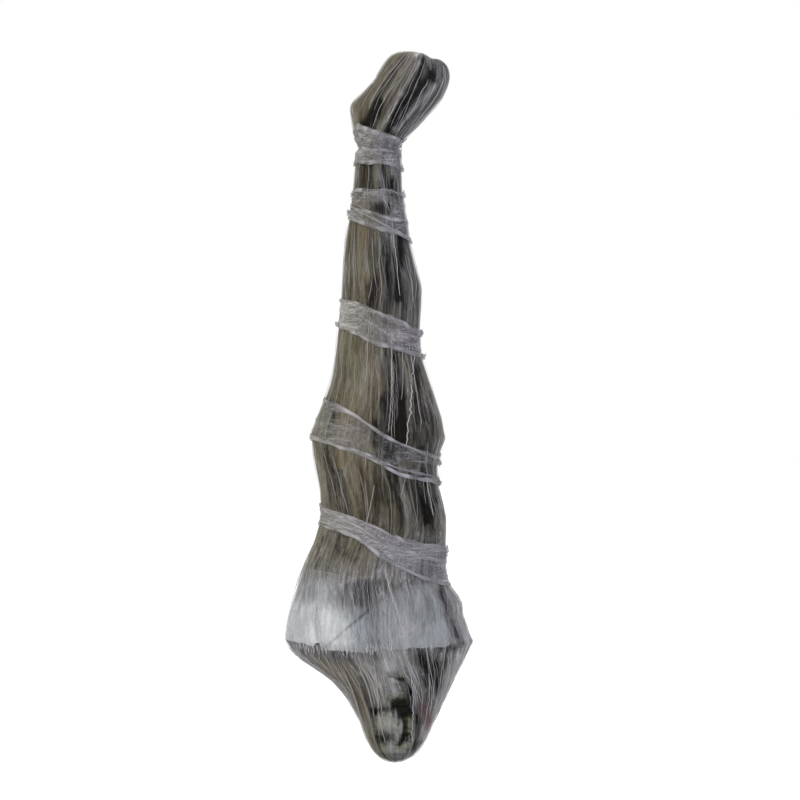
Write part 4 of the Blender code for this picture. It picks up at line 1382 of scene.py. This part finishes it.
strandLook = {
    "sides": 3,
    "seed": 5,
    # how many, from and to (metres down from the ankle tie), length, wander, thickness
    "zones": (
        (80, (-0.26, 0.0), (0.06, 0.20), 0.07, (0.0003, 0.0008)),
        (24, (0.02, 0.16), (0.04, 0.10), 0.06, (0.0002, 0.0005)),
        (50, (0.18, 0.42), (0.05, 0.18), 0.05, (0.0002, 0.0005)),
        (60, (0.44, 0.74), (0.06, 0.22), 0.045, (0.0002, 0.0005)),
        (60, (0.72, 1.00), (0.05, 0.20), 0.04, (0.0002, 0.0005)),
        (90, (0.98, 1.28), (0.05, 0.20), 0.035, (0.0002, 0.0005)),
        (130, (1.24, 1.45), (0.08, 0.20), 0.03, (0.0003, 0.0007)),
        (50, (1.30, 1.60), (0.08, 0.24), 0.03, (0.0002, 0.0004)),
    ),
    # over the front: from and to, as (across, down), thickness, tone and how crinkled
    "placed": (
        ((0.088, 0.500), (0.084, 0.600), 0.0009, 1.0, 0.0040),
        ((0.084, 0.600), (0.070, 0.755), 0.0013, 1.0, 0.0040),
        ((0.037, 0.480), (0.026, 0.720), 0.0008, 0.9, 0.0018),
        ((0.033, 0.480), (0.034, 0.735), 0.0006, 0.6, 0.0020),
        ((0.040, 0.540), (0.042, 0.735), 0.0004, 0.6, 0.0020),
        ((0.060, 0.490), (0.058, 0.640), 0.0006, 0.7, 0.0015),
        ((-0.020, 0.430), (-0.030, 0.600), 0.0008, 0.5, 0.0012),
        ((-0.008, 0.850), (-0.030, 0.960), 0.0009, 0.6, 0.0012),
        ((0.078, 0.500), (0.108, 0.700), 0.0009, 0.7, 0.0012),
        ((-0.060, 0.160), (0.050, 0.218), 0.0012, 0.9, 0.0020),
        ((-0.052, 0.150), (0.020, 0.205), 0.0008, 0.7, 0.0020),
        ((0.035, 0.180), (0.055, 0.380), 0.0008, 0.8, 0.0015),
        ((0.012, 0.130), (0.030, 0.168), 0.0007, 0.9, 0.0015),
        ((0.120, 0.830), (0.138, 0.930), 0.0010, 0.9, 0.0020),
        ((0.020, 1.074), (0.071, 1.240), 0.0010, 0.9, 0.0030),
        ((0.084, 1.300), (0.086, 1.500), 0.0009, 0.8, 0.0025),
        ((-0.010, 1.280), (0.020, 1.500), 0.0008, 0.6, 0.0020),
        ((0.200, 1.290), (0.110, 1.500), 0.0010, 0.8, 0.0020),
    ),
    # knots: angle, height and size
    "knots": (
        (-8, -0.002, 0.010),
        (-6, -0.470, 0.009),
        (-8, -0.531, 0.010),
        (-6, -0.799, 0.010),
        (-8, -0.850, 0.010),
        (-10, -1.030, 0.007),
        (-172, -0.165, 0.007),
        (-170, -0.450, 0.007),
    ),
    "knotLoops": 7,
    "lift": 0.0012,  # of the fibres over the gauze
    "placedLift": 0.0018,
    "underTie": 0.0002,  # the same where a tie covers them
    "sway": 0.10,
    "dropped": 0.95,  # share of the fibres that are left out over the holes
    "fringe": (-0.205, 0.035, 95),  # at the chest cloth's hem: from, to and how many
    "fringeTop": 1.242,
    "thinEnds": (0.25, 0.12),  # how thin a fibre's ends are, and over what share of its length
}


# Geometry Nodes: every wire of the guide mesh becomes a thin tapered fibre.
def strandTree():
    tree = bpy.data.node_groups.new("strands", "GeometryNodeTree")
    sockets = {"Geometry": "Geometry", "Thickness": "Float", "Sides": "Int", "Material": "Material"}
    for name, kind in sockets.items():
        tree.interface.new_socket(name, in_out="INPUT", socket_type="NodeSocket" + kind)
    tree.interface.new_socket("Geometry", in_out="OUTPUT", socket_type="NodeSocketGeometry")
    start = tree.nodes.new("NodeGroupInput")
    end = tree.nodes.new("NodeGroupOutput")
    curves = addNode(tree, "GeometryNodeMeshToCurve", {0: start.outputs["Geometry"]})
    girth = addNode(tree, "GeometryNodeInputNamedAttribute", {"Name": "girth"}, data_type="FLOAT")
    place = tree.nodes.new("GeometryNodeSplineParameter")
    taper = addNode(tree, "ShaderNodeFloatCurve", {"Value": place.outputs["Factor"]})
    points = taper.mapping.curves[0].points
    thin, share = strandLook["thinEnds"]
    points[0].location = (0, thin)
    points[1].location = (1, thin)
    points.new(share, 1.0)
    points.new(1 - share, 1.0)
    taper.mapping.update()
    radius = combine(tree, "MULTIPLY", girth.outputs["Attribute"], taper.outputs[0])
    radius = combine(tree, "MULTIPLY", radius, start.outputs["Thickness"])
    inputs = {"Resolution": start.outputs["Sides"], "Radius": 1.0}
    profile = addNode(tree, "GeometryNodeCurvePrimitiveCircle", inputs)
    inputs = {"Curve": curves.outputs[0], "Profile Curve": profile.outputs[0]}
    tube = addNode(tree, "GeometryNodeCurveToMesh", {**inputs, "Fill Caps": True, "Scale": radius})
    real = addNode(tree, "GeometryNodeRealizeInstances", {0: tube.outputs[0]})
    inputs = {"Geometry": real.outputs[0], "Material": start.outputs["Material"]}
    painted = addNode(tree, "GeometryNodeSetMaterial", inputs)
    tree.links.new(painted.outputs[0], end.inputs[0])
    return tree


# Each strand is its points, its thickness and its tone, and becomes one fibre.
def strandPiece(name, strands, material):
    points, edges, girth, tone = [], [], [], []
    for line, thick, shade in strands:
        start = len(points)
        points += line.tolist()
        edges += [(start + i, start + i + 1) for i in range(len(line) - 1)]
        girth += [thick] * len(line)
        tone += [shade] * len(line)
    guide = bpy.data.meshes.new(name)
    guide.from_pydata(points, edges, [])
    for label, values in (("girth", girth), ("tone", tone)):
        guide.attributes.new(label, "FLOAT", "POINT").data.foreach_set("value", values)
    holder = bpy.data.objects.new(name, guide)
    bpy.context.scene.collection.objects.link(holder)
    tree = strandTree()
    modifier = holder.modifiers.new("strands", "NODES")
    modifier.node_group = tree
    wanted = {"Thickness": 1.0, "Sides": strandLook["sides"], "Material": material}
    for item in tree.interface.items_tree:
        if item.item_type == "SOCKET" and item.in_out == "INPUT" and item.name in wanted:
            modifier[item.identifier] = wanted[item.name]
    graph = bpy.context.evaluated_depsgraph_get()
    mesh = bpy.data.meshes.new_from_object(holder.evaluated_get(graph), depsgraph=graph)
    bpy.data.objects.remove(holder)
    mesh.name = name
    mesh.shade_smooth()
    addPiece(name, mesh, material)


# Whether a place lies under one of the ties, so that a fibre there stays beneath it.
def underTie(angle, along):
    height = envelope.at(angle, along)[..., 2]
    under = np.zeros(height.shape, bool)
    for top, bottom in tiesMade:
        under |= (height < edgeHeight(top, angle)) & (height > edgeHeight(bottom, angle))
    return under


# Fibres that run down the figure between two heights, each at its own place round it.
def downStrands(rng, count, span, length, wander, thickness):
    strands = []
    for _ in range(count):
        size = rng.uniform(*length)
        start = rng.uniform(span[0], max(span[1] - size, span[0] + 0.001))
        along = np.linspace(start, min(start + size, span[1]), max(6, int(size / 0.012)))
        angle = rng.uniform(0, tau) + wander * np.cumsum(rng.normal(0, 0.2, len(along)))
        angle = angle + strandLook["sway"] * rng.normal() * (along - start) / size
        rise = strandLook["lift"] + rng.uniform(-0.0005, 0.0015)
        rise = rise + 0.0012 * np.sin(along / 0.03 + rng.uniform(0, tau))
        rise = np.where(underTie(angle, along), strandLook["underTie"], rise)
        line = envelope.at(angle, along, rise)
        if accentAt(line, "holes").max() > 0.4 and rng.uniform() < strandLook["dropped"]:
            continue
        strands.append((line, rng.uniform(*thickness), rng.uniform(0.1, 1.0)))
    return strands


# A crinkled fibre over the front, from one place to another, each as (place across, how far down).
def frontStrand(rng, start, end, thickness, tone, crinkle):
    count = max(8, int(math.dist(start, end) / 0.0045))
    share = np.linspace(0, 1, count)
    sway = np.cumsum(rng.normal(0, 0.35, count)) * np.sin(math.pi * share) + rng.normal(0, 0.5, count)
    across = start[0] + (end[0] - start[0]) * share + crinkle * 0.7 * sway
    along = start[1] + (end[1] - start[1]) * share
    angle = envelope.frontAngle(across, along)
    lift = np.where(underTie(angle, along), strandLook["underTie"], strandLook["placedLift"])
    return envelope.at(angle, along, lift), thickness, tone


# Short fibres that hang from the chest cloth's hem at the left.
def hemFringe(rng):
    strands = []
    for across in np.linspace(*strandLook["fringe"]):
        start = across + rng.normal(0, 0.002), strandLook["fringeTop"] + rng.uniform(0, 0.010)
        end = start[0] + rng.normal(0.003, 0.003), start[1] + rng.uniform(0.012, 0.030)
        thickness, tone = rng.uniform(0.0004, 0.0009), rng.uniform(0.7, 1.1)
        strands.append(frontStrand(rng, start, end, thickness, tone, 0.0006))
    return strands


# A small bunch of loops that stands out at a tie's end.
def knotLoops(rng, angle, height, size):
    spot = envelope.at(np.array(angle), downAt(np.array(angle), height), 0.003)
    outward = np.array((math.cos(angle), math.sin(angle), 0))
    turns = np.linspace(0, tau, 22)[:, None]
    strands = []
    for _ in range(strandLook["knotLoops"]):
        first = outward * rng.uniform(0.5, 1.0) + rng.normal(0, 0.35, 3)
        second = np.array((0, 0, 1)) + rng.normal(0, 0.6, 3)
        reach = size * rng.uniform(0.5, 1.0)
        middle = spot + outward * reach * 0.35 + rng.normal(0, 0.25 * size, 3) * (0.3, 1, 1)
        loop = first * np.cos(turns) + second * 0.7 * np.sin(turns * rng.integers(1, 3))
        line = middle + reach * 0.6 * loop
        strands.append((line, rng.uniform(0.0010, 0.0019), rng.uniform(0.3, 0.9)))
    return strands


def buildStrands():
    rng = np.random.default_rng(strandLook["seed"])
    strands = []
    for zone in strandLook["zones"]:
        strands += downStrands(rng, *zone)
    for line in strandLook["placed"]:
        strands.append(frontStrand(rng, *line))
    strands += hemFringe(rng)
    strandPiece("looseStrands", strands, paleStrand)
    knots = []
    for degrees, height, size in strandLook["knots"]:
        knots += knotLoops(rng, math.radians(degrees), height, size)
    strandPiece("knots", knots, paleStrand)
    print(f"strands: {len(strands)}, loops in the knots: {len(knots)}")


buildStudio()
buildFigure()
buildChestCloth()
buildHead()
buildHood()
buildGauze()
buildTies()
buildStrands()
